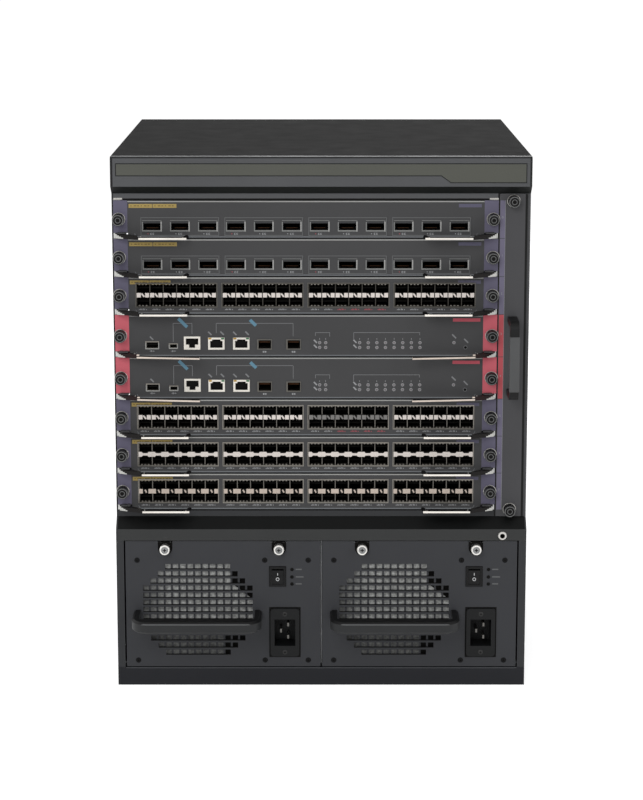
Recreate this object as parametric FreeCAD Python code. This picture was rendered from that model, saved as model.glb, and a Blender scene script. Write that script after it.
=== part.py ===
"""Modular chassis switch, 13 rack units: enclosure, eight plug-in cards, fan tray and two power supplies.

Millimetres, +Z up, front towards -Y. The origin is the middle of the flat underside.
Every separate piece is written to its own file in parts/.
"""
import FreeCAD, Part
import math
import os

V = FreeCAD.Vector

# ---- overall -------------------------------------------------------------
WIDTH = 440.0            # outside of the two side sheets
DEPTH = 420.0            # fascia face to rear panel
SHEET = 1.5              # outer sheet metal
INNER_SHEET = 1.2        # cage, divider and bracket sheet
GAP = 0.2                # joint line between fixed pieces
REAR_IN = 1.2            # rear panel lies this far inside the frame
SLIDE = 0.3              # clearance beside anything that slides

# ---- front levels --------------------------------------------------------
RECESS = 12.0            # card zone lies this far behind the fascia plane
BASE_H = 19.5            # plinth strip
BASE_FOLD = 14.0         # plinth strip folded back under the supplies
PSU_BAY_H = 142.5        # plinth strip to the middle fascia
STRIP_H = 12.2           # flat band of the middle fascia
SLOPE_H = 12.0           # sloping band above it
SILL_H = 7.0             # cage flange under the lowest card
HEADER_H = 6.8           # cage flange between the top card and the top fascia
CHAMFER_H = 8.7          # sloping underside of the top fascia
FASCIA_H = 31.02         # upright part of the top fascia, up to the top cover
FRAME_RETURN = 8.0       # inward fold of the side sheets beside the supplies

# ---- slots ---------------------------------------------------------------
LINE_PITCH = 40.64       # line card pitch
CTRL_PITCH = 45.72       # control card pitch
CARD_KINDS = ["qsfp", "qsfp", "sfp", "ctrl", "ctrl", "sfp", "sfp", "sfp"]   # top to bottom
FAN_BAY_SPARE = 6.0      # width kept beside the fans for the tray sheet and clearances
CARD_EDGE = 2.0          # side of the enclosure to the card faceplates
CARD_TO_FAN = 1.4        # card faceplates to the fan tray panel
CARD_SEAM = 0.25         # half the seam between neighbouring faceplates
PLATE_T = 1.5            # faceplate thickness
PLATE_RETURN = 8.0       # folded top and bottom edges of a faceplate
FLANGE_W = 7.0           # cage flange beside the card window
NOTCH_W = 15.0           # faceplate corner notch, for the lever
NOTCH_H = 5.4
PCB_T = 1.6
PCB_Z = 6.2              # underside of the board above the slot floor
CARD_DEPTH = 333.0       # faceplate front to the end of the board
CAGE_PROUD = 0.6         # port cages stand this far out of the faceplate
LEDGE_IN = 4.4           # card guide width
LEDGE_T = 1.4

# ---- small form-factor blocks, 2 x 6 ports --------------------------------
BLOCKS = 4
SFP_PORTS = 6
SFP_FIRST = 22.6         # faceplate left edge to the first block
SFP_PITCH = 90.9
SFP_W = 85.5
SFP_Z = 8.2              # above the slot floor
SFP_H = 25.3
SFP_MID = 5.0            # band between the upper and lower row
SFP_BAND_T = 1.2
SFP_WALL = 0.8
SFP_DEPTH = 54.0

# ---- quad blocks, three ports each ----------------------------------------
QSFP_PORTS = 3
QSFP_FIRST = 28.6
QSFP_PITCH = 88.1
QSFP_W = 82.6
QSFP_Z = 2.4
QSFP_H = 19.4
QSFP_PORT_W = 18.7
QSFP_PORT_H = 8.9
QSFP_PORT_Z = 8.1        # above the slot floor
QSFP_PORT_PITCH = 29.37
QSFP_DEPTH = 72.0

# ---- control card ports: centre from the faceplate left edge, width, height, floor
USB_A = (39.2, 13.6, 7.2, 9.2)
USB_MINI = (61.6, 8.6, 4.6, 9.6)
CONSOLE = (81.5, 17.4, 13.9, 8.1)
ETHERNET = [(107.2, 17.2, 12.8, 8.1), (133.6, 17.2, 12.8, 8.1)]
UPLINK = [(158.2, 14.6, 10.2, 8.5), (189.0, 14.6, 10.2, 8.5)]
JACK_WALL = 2.0
JACK_DEPTH = 19.0
JACK_KEY_W = 9.0         # latch key of the network jacks, upwards
JACK_KEY_H = 1.6
CONSOLE_KEY_W = 6.4      # latch key of the console jack, downwards
CONSOLE_KEY_H = 3.4
UPLINK_WALL = 0.6
UPLINK_DEPTH = 50.0
USB_WALL = 0.6
USB_DEPTH = 14.0

# ---- captive screws and ejector levers ------------------------------------
SCREW_R = 6.0
SCREW_L = 9.6
SCREW_IN = 5.6           # faceplate end to the screw
PIVOT_IN = 9.0           # faceplate end to the lever pivot
PIVOT_OUT = 4.7          # faceplate front to the lever pivot
LEVER_Z = 1.0            # underside of the lever above the slot floor
LEVER_T = 2.6
LEVER_ROOT_L = 17.0      # pivot to the end of the thick root
LEVER_ROOT_T = 4.2
EAR_T = 1.2
EAR_HALF = 4.6
PIN_R = 1.4              # lever pivot pin, through the ear
PIN_FIT = 0.05           # running fit of pins in their bores, on the radius
NOSE_L = 6.8
NOSE_CLEAR = 0.7
LINE_LEVER_L = 70.0
LINE_LEVER_OUT = 12.4
CTRL_LEVER_L = 81.0
CTRL_LEVER_OUT = 15.4
LEVER_BAR = 2.4

# ---- fan tray --------------------------------------------------------------
FAN_PANEL_EDGE = 3.3     # side of the enclosure to the fan tray panel
FAN_PANEL_OVER = 7.0     # panel overlap under and over the card window
FAN_W = 172.0
FAN_H = 150.0
FAN_T = 25.0
FAN_HOLE_R = 71.0
FAN_BLADES = 5
FAN_TIP = 2.0            # blade tip clearance
FAN_HUB_R = 31.0
FAN_HUB_T = 21.0
FAN_CHORD = 42.0         # blade width along its section
FAN_PITCH = 20.0         # blade angle, degrees
BLADE_SKIN = 1.7
FAN_COLS = 2
FAN_ROWS = 2
FAN_SPACE = 4.0
FAN_FIRST = 12.0         # panel to the first fan
FAN_LIFT = 12.0
TRAY_HANDLE_H = 84.0
TRAY_HANDLE_W = 9.8
TRAY_HANDLE_OUT = 36.0
TRAY_HANDLE_T = 6.0
TRAY_HANDLE_Z = 169.2    # above the card window floor

# ---- power supplies ----------------------------------------------------------
PSU_SPACE = 2.1          # between the two supply panels
PSU_H = 140.5
PSU_EDGE = 9.6           # side of the enclosure to a supply panel
PSU_DEPTH = 377.0
PSU_CASE_IN = 1.5        # panel edge to the case
PSU_SHEET = 1.2
RAIL_T = 2.5
GRILLE_X = 77.5          # from the panel left edge
GRILLE_Z = 64.0          # from the panel lower edge
GRILLE_PITCH = 8.0
GRILLE_HOLE = 6.0
GUARD_T = 1.0            # upright guard bars behind the slots
GRILLE_ROWS = [9, 11, 13, 15, 15, 15, 15, 15, 15, 15, 13, 11, 9]
HANDLE_W = 138.0
HANDLE_OUT = 46.0
HANDLE_H = 12.6
HANDLE_T = 7.5           # legs
HANDLE_BAR = 14.0        # grip bar, front to back
HANDLE_R = 18.0
HANDLE_Z = 57.4          # from the panel lower edge
HANDLE_EDGE = 2.2
THUMB_X = (42.8, 165.0)
THUMB_Z = 132.6
THUMB_R = 5.2
THUMB_L = 10.0
NOTCH_R = 7.9
ROCKER_X = 163.5
ROCKER_Z = 101.1
ROCKER_W = 13.0
ROCKER_H = 17.4
ROCKER_TILT = 7.0
ROCKER_PIVOT = 3.0       # panel face to the rocker axis
TRUNNION_R = 1.2
TRUNNION_L = 0.7         # trunnion into each side of the bezel
BEZEL = 2.1
BEZEL_PROUD = 1.4
BEZEL_DEPTH = 15.0
INLET_X = 171.2
INLET_Z = 38.6
INLET_W = 31.2
INLET_H = 53.7
INLET_OPEN_W = 22.4
INLET_OPEN_H = 29.8
INLET_DEPTH = 24.0
INLET_PROUD = 2.2
BLADE_T = 2.0
BLADE_W = 8.0
BLADE_AT = ((3.4, 6.9), (-4.4, 0.0), (3.4, -6.9))    # from the middle of the inlet
PSU_FAN_R = 54.0
PSU_FAN_T = 25.0
PSU_FAN_HUB_R = 22.0
PSU_FAN_BLADES = 7
PSU_FAN_CHORD = 25.0
PSU_FAN_PITCH = 25.0

# ---- enclosure detail ----------------------------------------------------------
VENT_COLS = 2
VENT_ROWS = 10
VENT_L = 146.0
VENT_H = 12.0
VENT_COL_PITCH = 158.0
VENT_ROW_PITCH = 30.0
BRACKET_HOLE_R = 2.1     # rack bracket screw holes, M4
BRACKET_DY = 25.0
BRACKET_DZ = 150.0
BRACKET_Z = 300.0
BRACKET_IN = 22.0
REAR_SLOTS = 8
REAR_SLOT_W = 9.0
REAR_SLOT_H = 90.0
REAR_SLOT_PITCH = 19.5
BACKPLANE_T = 3.0
STRIP_TOP = 6.6          # inlay strip below the top of the fascia
STRIP_DEEP = 13.8
STRIP_STEP = 7.2
STRIP_EDGE = 5.3
STRIP_RECESS = 0.6
STEP_X0 = 125.0
STEP_X1 = 134.9
FASCIA_BEVEL = 2.0
FASCIA_T = 1.8
JACK_X = 194.2           # wrist strap jack
JACK_R = 4.0
JACK_BORE_R = 2.0
JACK_L = 16.0
JACK_PROUD = 1.6
JACK_BORE_L = 12.0

# ---- derived levels --------------------------------------------------------------
X0 = -WIDTH / 2
X1 = WIDTH / 2
FRONT = -DEPTH / 2
FRAME = FRONT + RECESS
REAR = DEPTH / 2
REAR_Y = REAR - REAR_IN            # outer face of the rear panel
INX = WIDTH / 2 - SHEET
PSU_W = (WIDTH - 2 * PSU_EDGE - PSU_SPACE) / 2
PSU_PITCH = PSU_W + PSU_SPACE
Z_STRIP = BASE_H + PSU_BAY_H
Z_SLOPE = Z_STRIP + STRIP_H
Z_SILL = Z_SLOPE + SLOPE_H
Z_CARDS = Z_SILL + SILL_H
PITCHES = [CTRL_PITCH if k == "ctrl" else LINE_PITCH for k in CARD_KINDS]
Z_CARDS_TOP = Z_CARDS + sum(PITCHES)
Z_CHAMFER = Z_CARDS_TOP + HEADER_H
Z_FASCIA = Z_CHAMFER + CHAMFER_H
HEIGHT = Z_FASCIA + FASCIA_H       # underside to top cover
FAN_BAY_W = FAN_T + FAN_BAY_SPARE
FAN_PX1 = X1 - FAN_PANEL_EDGE
FAN_PX0 = FAN_PX1 - (FAN_BAY_W - CARD_TO_FAN - 0.3)
CARD_X0 = X0 + CARD_EDGE
CARD_X1 = FAN_PX0 - CARD_TO_FAN
WIN_X0 = CARD_X0 + FLANGE_W
WIN_X1 = CARD_X1 - FLANGE_W
PLATE_Y = FRAME - GAP              # rear face of the faceplates
FACE_Y = PLATE_Y - PLATE_T         # front face of the faceplates
FLOOR_TOP = Z_CARDS - 3.4
LID_Z = HEIGHT - SHEET
BOARD_Y1 = FACE_Y + CARD_DEPTH
BACKPLANE_Y = BOARD_Y1 + 11.0


def slot_floor(i):
    """Lower boundary of slot i, counted from the top."""
    return Z_CARDS_TOP - sum(PITCHES[:i + 1])


# ---- helpers -----------------------------------------------------------------------
def box(x0, x1, y0, y1, z0, z1):
    return Part.makeBox(x1 - x0, y1 - y0, z1 - z0, V(x0, y0, z0))


def prism(points, axis, a, b):
    """Extrude a closed outline along an axis, from a to b."""
    if axis == "x":
        pts = [V(a, p, q) for p, q in points]
        way = V(b - a, 0, 0)
    elif axis == "y":
        pts = [V(p, a, q) for p, q in points]
        way = V(0, b - a, 0)
    else:
        pts = [V(p, q, a) for p, q in points]
        way = V(0, 0, b - a)
    return Part.Face(Part.makePolygon(pts + [pts[0]])).extrude(way)


def rod(x, y, z, r, length, way):
    return Part.makeCylinder(r, length, V(x, y, z), V(*way))


def rounded(x0, x1, y0, y1, z0, z1, r, axis):
    """Box with the four edges along one axis rounded."""
    solid = box(x0, x1, y0, y1, z0, z1)
    k = "xyz".index(axis)
    edges = []
    for e in solid.Edges:
        d = e.Vertexes[1].Point - e.Vertexes[0].Point
        if abs(d[k]) > 0.999 * d.Length:
            edges.append(e)
    return solid.makeFillet(r, edges)


def ring_of(points_rz, origin, way):
    """Revolve an outline of (radius, height) pairs about an axis through origin."""
    pts = [V(r, 0, h) for r, h in points_rz]
    face = Part.Face(Part.makePolygon(pts + [pts[0]]))
    solid = face.revolve(V(0, 0, 0), V(0, 0, 1), 360)
    turn = FreeCAD.Rotation(V(0, 0, 1), V(*way))
    solid.Placement = FreeCAD.Placement(V(*origin), turn)
    return solid


def save(node, solids):
    out = []
    for s in solids:
        for one in s.Solids:
            out.append(one)
    shape = out[0] if len(out) == 1 else Part.makeCompound(out)
    shape.exportStep("parts/%s.step" % node)


def mirrored(shape, x):
    return shape.mirror(V(x, 0, 0), V(1, 0, 0))


# ---- enclosure --------------------------------------------------------------------------
def side_sheet(left):
    """Side sheet with the front recess in its outline, vent slots and rack bracket holes."""
    a = X0 if left else INX
    outline = [
        (FRONT, 0), (FRONT, Z_SLOPE), (FRAME, Z_SILL), (FRAME, LID_Z - GAP),
        (REAR, LID_Z - GAP), (REAR, 0),
    ]
    sheet = prism(outline, "x", a, a + SHEET)
    fold_x0 = X0 if left else X1 - FRAME_RETURN
    fold = box(fold_x0, fold_x0 + FRAME_RETURN, FRONT, FRONT + SHEET, BASE_H + GAP, Z_STRIP - GAP)
    sheet = sheet.fuse(fold).removeSplitter()
    tools = []
    y_mid = (FRAME + REAR) / 2 + 12
    z_mid = (Z_CARDS + Z_CARDS_TOP) / 2
    for c in range(VENT_COLS):
        y = y_mid + (c - (VENT_COLS - 1) / 2) * VENT_COL_PITCH
        for r in range(VENT_ROWS):
            z = z_mid + (r - (VENT_ROWS - 1) / 2) * VENT_ROW_PITCH
            tools.append(box(a - 1, a + SHEET + 1, y - VENT_L / 2, y + VENT_L / 2,
                             z - VENT_H / 2, z + VENT_H / 2))
    for y, z in bracket_holes():
        tools.append(rod(a - 1, y, z, BRACKET_HOLE_R, SHEET + 2, (1, 0, 0)))
    return sheet.cut(tools)


def bracket_holes():
    y = FRAME + BRACKET_IN - BRACKET_DY / 2
    return [(y + j * BRACKET_DY - 4, BRACKET_Z + k * BRACKET_DZ) for j in (0, 1) for k in (0, 1)]


def chassis_shell():
    base = prism([
        (FRONT, 0), (REAR, 0), (REAR, SHEET), (FRONT + SHEET, SHEET), (FRONT + SHEET, BASE_H - SHEET),
        (FRONT + BASE_FOLD, BASE_H - SHEET), (FRONT + BASE_FOLD, BASE_H), (FRONT, BASE_H),
    ], "x", -INX + GAP, INX - GAP)
    return [base, side_sheet(True), side_sheet(False)]


def top_cover():
    lid = box(X0, X1, FRAME + GAP, REAR, LID_Z, HEIGHT)
    for s in (-1, 1):
        x = s * (INX - GAP)
        lip = box(min(x, x - s * SHEET), max(x, x - s * SHEET), FRAME + 16, REAR - 16, LID_Z - 14, LID_Z)
        lid = lid.fuse(lip)
    return [lid.removeSplitter()]


def rear_panel():
    plate = box(-INX + GAP, INX - GAP, REAR_Y - SHEET, REAR_Y, SHEET + GAP, LID_Z - GAP)
    tools = []
    for n in (0, 1):
        cx = X0 + PSU_EDGE + PSU_W / 2 + n * PSU_PITCH
        for k in range(REAR_SLOTS):
            x = cx + (k - (REAR_SLOTS - 1) / 2) * REAR_SLOT_PITCH
            z = BASE_H + PSU_BAY_H / 2
            tools.append(box(x - REAR_SLOT_W / 2, x + REAR_SLOT_W / 2, REAR_Y - SHEET - 1, REAR_Y + 1,
                             z - REAR_SLOT_H / 2, z + REAR_SLOT_H / 2))
    return [plate.cut(tools)]


def cage_frame():
    """Front flange sheet with the card window and the fan tray window."""
    z0 = Z_SLOPE + 0.8
    z1 = Z_FASCIA + 2
    plate = box(-INX + GAP, INX - GAP, FRAME, FRAME + INNER_SHEET, z0, z1)
    tools = [
        box(WIN_X0, WIN_X1, FRAME - 1, FRAME + 5, Z_CARDS, Z_CARDS_TOP),
        box(FAN_PX0 + 1.2, FAN_PX1 - 0.7, FRAME - 1, FRAME + 5, FLOOR_TOP + 0.1, Z_CARDS_TOP + 3),
    ]
    reach = NOSE_L + NOSE_CLEAR
    for i in range(len(CARD_KINDS)):
        z = slot_floor(i) + CARD_SEAM
        left = CARD_X0 + PIVOT_IN
        right = CARD_X1 - PIVOT_IN
        tools.append(box(left - reach, WIN_X0 + 1, FRAME - 1, FRAME + 5, z, z + NOTCH_H))
        tools.append(box(WIN_X1 - 1, right + reach, FRAME - 1, FRAME + 5, z, z + NOTCH_H))
    return plate.cut(tools)


def cage_wall(x0, x1):
    wall = box(x0, x1, FRAME + INNER_SHEET + GAP, REAR_Y - SHEET - GAP, FLOOR_TOP + GAP, LID_Z - 16)
    tools = []
    for i in range(len(CARD_KINDS)):
        z = slot_floor(i)
        tools.append(box(x0 - 1, x1 + 1, FRAME + 40, BACKPLANE_Y - 12, z + 13, z + PITCHES[i] - 6))
    return wall.cut(tools)


def card_cage():
    y0 = FRAME + INNER_SHEET + GAP
    solids = [cage_frame()]
    solids.append(box(-INX + GAP, INX - GAP, y0, REAR_Y - SHEET - GAP, FLOOR_TOP - INNER_SHEET, FLOOR_TOP))
    left = WIN_X0 - 0.4
    right = WIN_X1 + 0.4
    solids.append(cage_wall(left - INNER_SHEET, left))
    solids.append(cage_wall(right, right + INNER_SHEET))
    for i in range(len(CARD_KINDS)):
        under = slot_floor(i) + PCB_Z - SLIDE
        over = slot_floor(i) + PCB_Z + PCB_T + SLIDE
        for z in (under - LEDGE_T, over):
            solids.append(box(left, left + LEDGE_IN, y0 + 2, BACKPLANE_Y - 12, z, z + LEDGE_T))
            solids.append(box(right - LEDGE_IN, right, y0 + 2, BACKPLANE_Y - 12, z, z + LEDGE_T))
    return solids


def psu_bay():
    """Divider between the supplies and the runner rails that they slide on."""
    mid = X0 + PSU_EDGE + PSU_W + (PSU_PITCH - PSU_W) / 2
    y1 = FRONT + 5 + PSU_DEPTH + 6
    divider = box(mid - 0.6, mid + 0.6, FRONT + BASE_FOLD + GAP, y1, SHEET + GAP, Z_STRIP - 1)
    z1 = BASE_H + 1.1 + PSU_CASE_IN - SLIDE
    rails = []
    for x0, x1 in ((-INX + GAP, X0 + PSU_EDGE + 8), (mid - 9, mid - 0.6), (mid + 0.6, mid + 9),
                   (X0 + PSU_EDGE + PSU_PITCH + PSU_W - 8, INX - GAP)):
        rails.append(box(x0, x1, FRONT + BASE_FOLD + 1, y1 - 8, z1 - RAIL_T, z1))
    return [divider] + rails


def backplane():
    left = WIN_X0 - 0.4 + GAP
    right = WIN_X1 + 0.4 - GAP
    plate = box(left, right, BACKPLANE_Y, BACKPLANE_Y + BACKPLANE_T, FLOOR_TOP + GAP, Z_CARDS_TOP + 2)
    solids = [plate]
    for i in range(len(CARD_KINDS)):
        z = slot_floor(i) + PCB_Z - 3
        for x in (left + 30, right - 150):
            solids.append(box(x, x + 120, BACKPLANE_Y - 9, BACKPLANE_Y, z, z + 11))
    y = FRONT + 5 + PSU_DEPTH + 6.5
    power = box(-INX + GAP, INX - GAP, y, y + 2, 24, Z_STRIP - 8)
    tools = []
    for n in (0, 1):
        x = X0 + PSU_EDGE + n * PSU_PITCH
        tools.append(box(x + 20, x + PSU_W - 60, y - 1, y + 3, 44, Z_STRIP - 22))
    return solids + [power.cut(tools)]


def top_fascia():
    """Bevelled cover bar, hollow behind, with the recess for the inlay strip."""
    t = FASCIA_T
    outer = [
        (FRAME, HEIGHT), (FRONT + FASCIA_BEVEL, HEIGHT), (FRONT, HEIGHT - FASCIA_BEVEL),
        (FRONT, Z_FASCIA), (FRAME - GAP, Z_CHAMFER),
    ]
    inner = [
        (FRAME + 1, HEIGHT - t), (FRONT + FASCIA_BEVEL + 0.6, HEIGHT - t),
        (FRONT + t, HEIGHT - FASCIA_BEVEL - 0.6), (FRONT + t, Z_FASCIA + 0.9),
        (FRAME + 1, Z_CHAMFER + 1.6),
    ]
    bar = prism(outer, "x", X0, X1).cut(prism(inner, "x", X0 + SHEET, X1 - SHEET))
    strip = [
        (X0 + STRIP_EDGE, HEIGHT - STRIP_TOP), (X1 - STRIP_EDGE, HEIGHT - STRIP_TOP),
        (X1 - STRIP_EDGE, HEIGHT - STRIP_TOP - STRIP_DEEP - STRIP_STEP),
        (STEP_X1, HEIGHT - STRIP_TOP - STRIP_DEEP - STRIP_STEP),
        (STEP_X0, HEIGHT - STRIP_TOP - STRIP_DEEP), (X0 + STRIP_EDGE, HEIGHT - STRIP_TOP - STRIP_DEEP),
    ]
    return [bar.cut(prism(strip, "y", FRONT - 1, FRONT + STRIP_RECESS))]


def mid_fascia():
    """Folded sheet: flat band over the supplies, sloping back to the cage flange."""
    t = INNER_SHEET
    back = FRAME - GAP
    outline = [
        (back, Z_STRIP), (FRONT, Z_STRIP), (FRONT, Z_SLOPE), (back, Z_SLOPE + SLOPE_H - GAP),
        (back, Z_SLOPE + SLOPE_H - GAP - 1.7), (FRONT + t, Z_SLOPE - 0.5), (FRONT + t, Z_STRIP + t),
        (back, Z_STRIP + t),
    ]
    sheet = prism(outline, "x", -INX + GAP, INX - GAP)
    z = (Z_STRIP + Z_SLOPE) / 2 - 0.8
    return [sheet.cut(rod(JACK_X, FRONT - 1, z, JACK_R + 0.05, 4, (0, 1, 0)))]


def esd_jack():
    z = (Z_STRIP + Z_SLOPE) / 2 - 0.8
    y = FRONT - JACK_PROUD
    return [ring_of([
        (JACK_BORE_R, 0), (JACK_R, 0), (JACK_R, JACK_L), (0, JACK_L),
        (0, JACK_BORE_L), (JACK_BORE_R, JACK_BORE_L),
    ], (JACK_X, y, z), (0, 1, 0))]


# ---- cards --------------------------------------------------------------------------------
def captive_screw(x, z):
    """Turned head standing on the faceplate."""
    return rod(x, FACE_Y, z, SCREW_R, SCREW_L, (0, -1, 0))


def block_x(i, first, pitch):
    return CARD_X0 + first + i * pitch


def faceplate(i):
    kind = CARD_KINDS[i]
    z0 = slot_floor(i)
    lo = z0 + CARD_SEAM
    hi = z0 + PITCHES[i] - CARD_SEAM
    plate = box(CARD_X0, CARD_X1, FACE_Y, PLATE_Y, lo, hi)
    for z in (lo, hi - INNER_SHEET):
        plate = plate.fuse(box(WIN_X0 + 3, WIN_X1 - 3, PLATE_Y, PLATE_Y + PLATE_RETURN, z, z + INNER_SHEET))
    plate = plate.removeSplitter()
    tools = []
    for x in (CARD_X0, CARD_X1 - NOTCH_W):
        tools.append(box(x - 1 if x == CARD_X0 else x, x + NOTCH_W + (1 if x != CARD_X0 else 0),
                         FACE_Y - 1, PLATE_Y + PLATE_RETURN + 1, lo - 1, z0 + NOTCH_H + 0.3))
    c = GAP
    if kind == "sfp":
        for b in range(BLOCKS):
            x = block_x(b, SFP_FIRST, SFP_PITCH)
            z = z0 + SFP_Z
            tools.append(box(x - c, x + SFP_W + c, FACE_Y - 1, PLATE_Y + 1, z - c, z + SFP_H + c))
    elif kind == "qsfp":
        for b in range(BLOCKS):
            x = block_x(b, QSFP_FIRST, QSFP_PITCH)
            tools.append(box(x - c, x + QSFP_W + c, FACE_Y - 1, PLATE_Y + 1,
                             z0 + QSFP_Z - c, z0 + QSFP_Z + QSFP_H + c))
    else:
        for cx, w, h, z in [USB_A, USB_MINI, CONSOLE] + ETHERNET + UPLINK:
            x = CARD_X0 + cx
            tools.append(box(x - w / 2 - c, x + w / 2 + c, FACE_Y - 1, PLATE_Y + 1,
                             z0 + z - c, z0 + z + h + c))
    plate = plate.cut(tools)
    ear_y = FACE_Y - PIVOT_OUT - EAR_HALF * 0.5
    ear_z = z0 + NOTCH_H + 0.3
    for x in (CARD_X0 + PIVOT_IN, CARD_X1 - PIVOT_IN):
        ear = box(x - EAR_HALF, x + EAR_HALF, ear_y, FACE_Y, ear_z, ear_z + EAR_T)
        ear = ear.cut(rod(x, FACE_Y - PIVOT_OUT, ear_z - 1, PIN_R + PIN_FIT, EAR_T + 2, (0, 0, 1)))
        plate = plate.fuse(ear)
    z = (lo + hi) / 2
    screws = [captive_screw(x, z) for x in (CARD_X0 + SCREW_IN, CARD_X1 - SCREW_IN)]
    return [plate.removeSplitter()] + screws


def sfp_block(x, z):
    """Two rows of six ports: walls, dividers and, in front of them, the band between the rows."""
    y0 = FACE_Y - CAGE_PROUD
    y1 = y0 + SFP_DEPTH
    t = SFP_WALL
    w = SFP_W
    h = SFP_H
    mid0 = z + (h - SFP_MID) / 2
    mid1 = mid0 + SFP_MID
    parts = [
        box(x, x + w, y0, y1, z, z + t), box(x, x + w, y0, y1, z + h - t, z + h),
        box(x, x + t, y0, y1, z + t, z + h - t), box(x + w - t, x + w, y0, y1, z + t, z + h - t),
        box(x + t, x + w - t, y0, y0 + SFP_BAND_T, mid0, mid1),
    ]
    pitch = (w - t) / SFP_PORTS
    for k in range(1, SFP_PORTS):
        px = x + k * pitch
        parts.append(box(px, px + t, y0 + SFP_BAND_T, y1, z + t, z + h - t))
    return parts


def qsfp_block(x, z0):
    """Three ports in one bezel, each with a straight way into the cage behind."""
    y0 = FACE_Y - 0.1
    y1 = PLATE_Y
    y2 = y0 + QSFP_DEPTH
    z = z0 + QSFP_Z
    top = z + QSFP_H
    p0 = z0 + QSFP_PORT_Z
    p1 = p0 + QSFP_PORT_H
    mid = x + QSFP_W / 2
    parts = [box(x, x + QSFP_W, y0, y1, z, p0), box(x, x + QSFP_W, y0, y1, p1, top)]
    edges = [x]
    for k in range(QSFP_PORTS):
        c = mid + (k - (QSFP_PORTS - 1) / 2) * QSFP_PORT_PITCH
        edges += [c - QSFP_PORT_W / 2, c + QSFP_PORT_W / 2]
    edges.append(x + QSFP_W)
    for k in range(0, len(edges), 2):
        parts.append(box(edges[k], edges[k + 1], y0, y1, p0, p1))
    t = 0.8
    parts.append(box(edges[1] - t, edges[-2] + t, y1, y2, z0 + PCB_Z + PCB_T, p0))
    parts.append(box(edges[1] - t, edges[-2] + t, y1, y2, p1, p1 + t))
    parts.append(box(edges[1] - t, edges[1], y1, y2, p0, p1))
    parts.append(box(edges[-2], edges[-2] + t, y1, y2, p0, p1))
    return parts


def socket(cx, w, h, z, wall, depth):
    """Connector body with one straight pocket."""
    x = CARD_X0 + cx
    y0 = FACE_Y - CAGE_PROUD
    body = box(x - w / 2, x + w / 2, y0, y0 + depth, z, z + h)
    return body.cut(box(x - w / 2 + wall, x + w / 2 - wall, y0 - 1, y0 + depth - 1.5, z + wall, z + h - wall))


def jack_socket(cx, w, h, z, key_w, key_h, key_up):
    """Modular jack: one pocket whose outline narrows to the latch key, above or below."""
    x = CARD_X0 + cx
    y0 = FACE_Y - CAGE_PROUD
    body = box(x - w / 2, x + w / 2, y0, y0 + JACK_DEPTH, z, z + h)
    half = w / 2 - JACK_WALL
    flat = z + JACK_WALL
    top = z + h - JACK_WALL
    if key_up:
        flat, top = top, flat
    side = 1 if key_up else -1
    neck = flat - side * key_h
    key = flat
    if not key_up:
        neck = flat + key_h
    outline = [
        (x - half, top), (x + half, top), (x + half, neck), (x + key_w / 2, neck),
        (x + key_w / 2, key), (x - key_w / 2, key), (x - key_w / 2, neck), (x - half, neck),
    ]
    return body.cut(prism(outline, "y", y0 - 1, y0 + JACK_DEPTH - 1.5))


def board(i):
    kind = CARD_KINDS[i]
    z0 = slot_floor(i)
    pz = z0 + PCB_Z
    top = pz + PCB_T
    x0 = WIN_X0 + 1.4
    x1 = WIN_X1 - 1.4
    pcb = box(x0, x1, PLATE_Y + GAP, BOARD_Y1, pz, top)
    solids = [pcb]
    for x in (WIN_X0 - 0.4 + GAP + 30, WIN_X1 + 0.4 - GAP - 150):
        solids.append(box(x + 2, x + 118, BOARD_Y1 - 16, BACKPLANE_Y - 9 - GAP, top, top + 6))
    if kind == "sfp":
        for b in range(BLOCKS):
            solids += sfp_block(block_x(b, SFP_FIRST, SFP_PITCH), z0 + SFP_Z)
    elif kind == "qsfp":
        for b in range(BLOCKS):
            solids += qsfp_block(block_x(b, QSFP_FIRST, QSFP_PITCH), z0)
    else:
        cx, w, h, z = CONSOLE
        solids.append(jack_socket(cx, w, h, z0 + z, CONSOLE_KEY_W, CONSOLE_KEY_H, False))
        for cx, w, h, z in ETHERNET:
            solids.append(jack_socket(cx, w, h, z0 + z, JACK_KEY_W, JACK_KEY_H, True))
        for cx, w, h, z in UPLINK:
            solids.append(socket(cx, w, h, z0 + z, UPLINK_WALL, UPLINK_DEPTH))
        for cx, w, h, z in (USB_A, USB_MINI):
            solids.append(socket(cx, w, h, z0 + z, USB_WALL, USB_DEPTH))
    solids.append(heat_sink((x0 + x1) / 2 - 30, FACE_Y + 120, top))
    return solids


def heat_sink(x, y, z):
    """Extruded sink: a base with upright fins, in one profile."""
    base, fins, fin, pitch, high = 3.0, 3, 4.0, 28.0, 18.0
    pts = [(x, z)]
    wide = (fins - 1) * pitch + fin
    pts.append((x + wide, z))
    for k in reversed(range(fins)):
        fx = x + k * pitch
        pts += [(fx + fin, z + high), (fx, z + high)]
        if k:
            pts += [(fx, z + base), (fx - pitch + fin, z + base)]
    return prism(pts, "y", y, y + 90)


def lever_outline(kind):
    """Plan of a closed lever: u inwards from the pivot, v forwards from it."""
    b = LEVER_BAR
    nose = [(-NOSE_L, -1.4), (-NOSE_L, 1.2), (-2.6, 3.2)]
    if kind == "ctrl":
        l, o = CTRL_LEVER_L, CTRL_LEVER_OUT
        front = [(14, 8.2), (40, 11.4), (l, o)]
        back = [(l + 0.4, o - 1.6), (40, 11.4 - b), (14, 8.2 - b * 1.6)]
    else:
        l, o = LINE_LEVER_L, LINE_LEVER_OUT
        front = [(17, o), (l - 6, o), (l, 0.4)]
        back = [(l - 2.0, 0.0), (l - 7.6, o - b), (19, o - b)]
    return nose + front + back + [(3.0, -2.2)]


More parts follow.
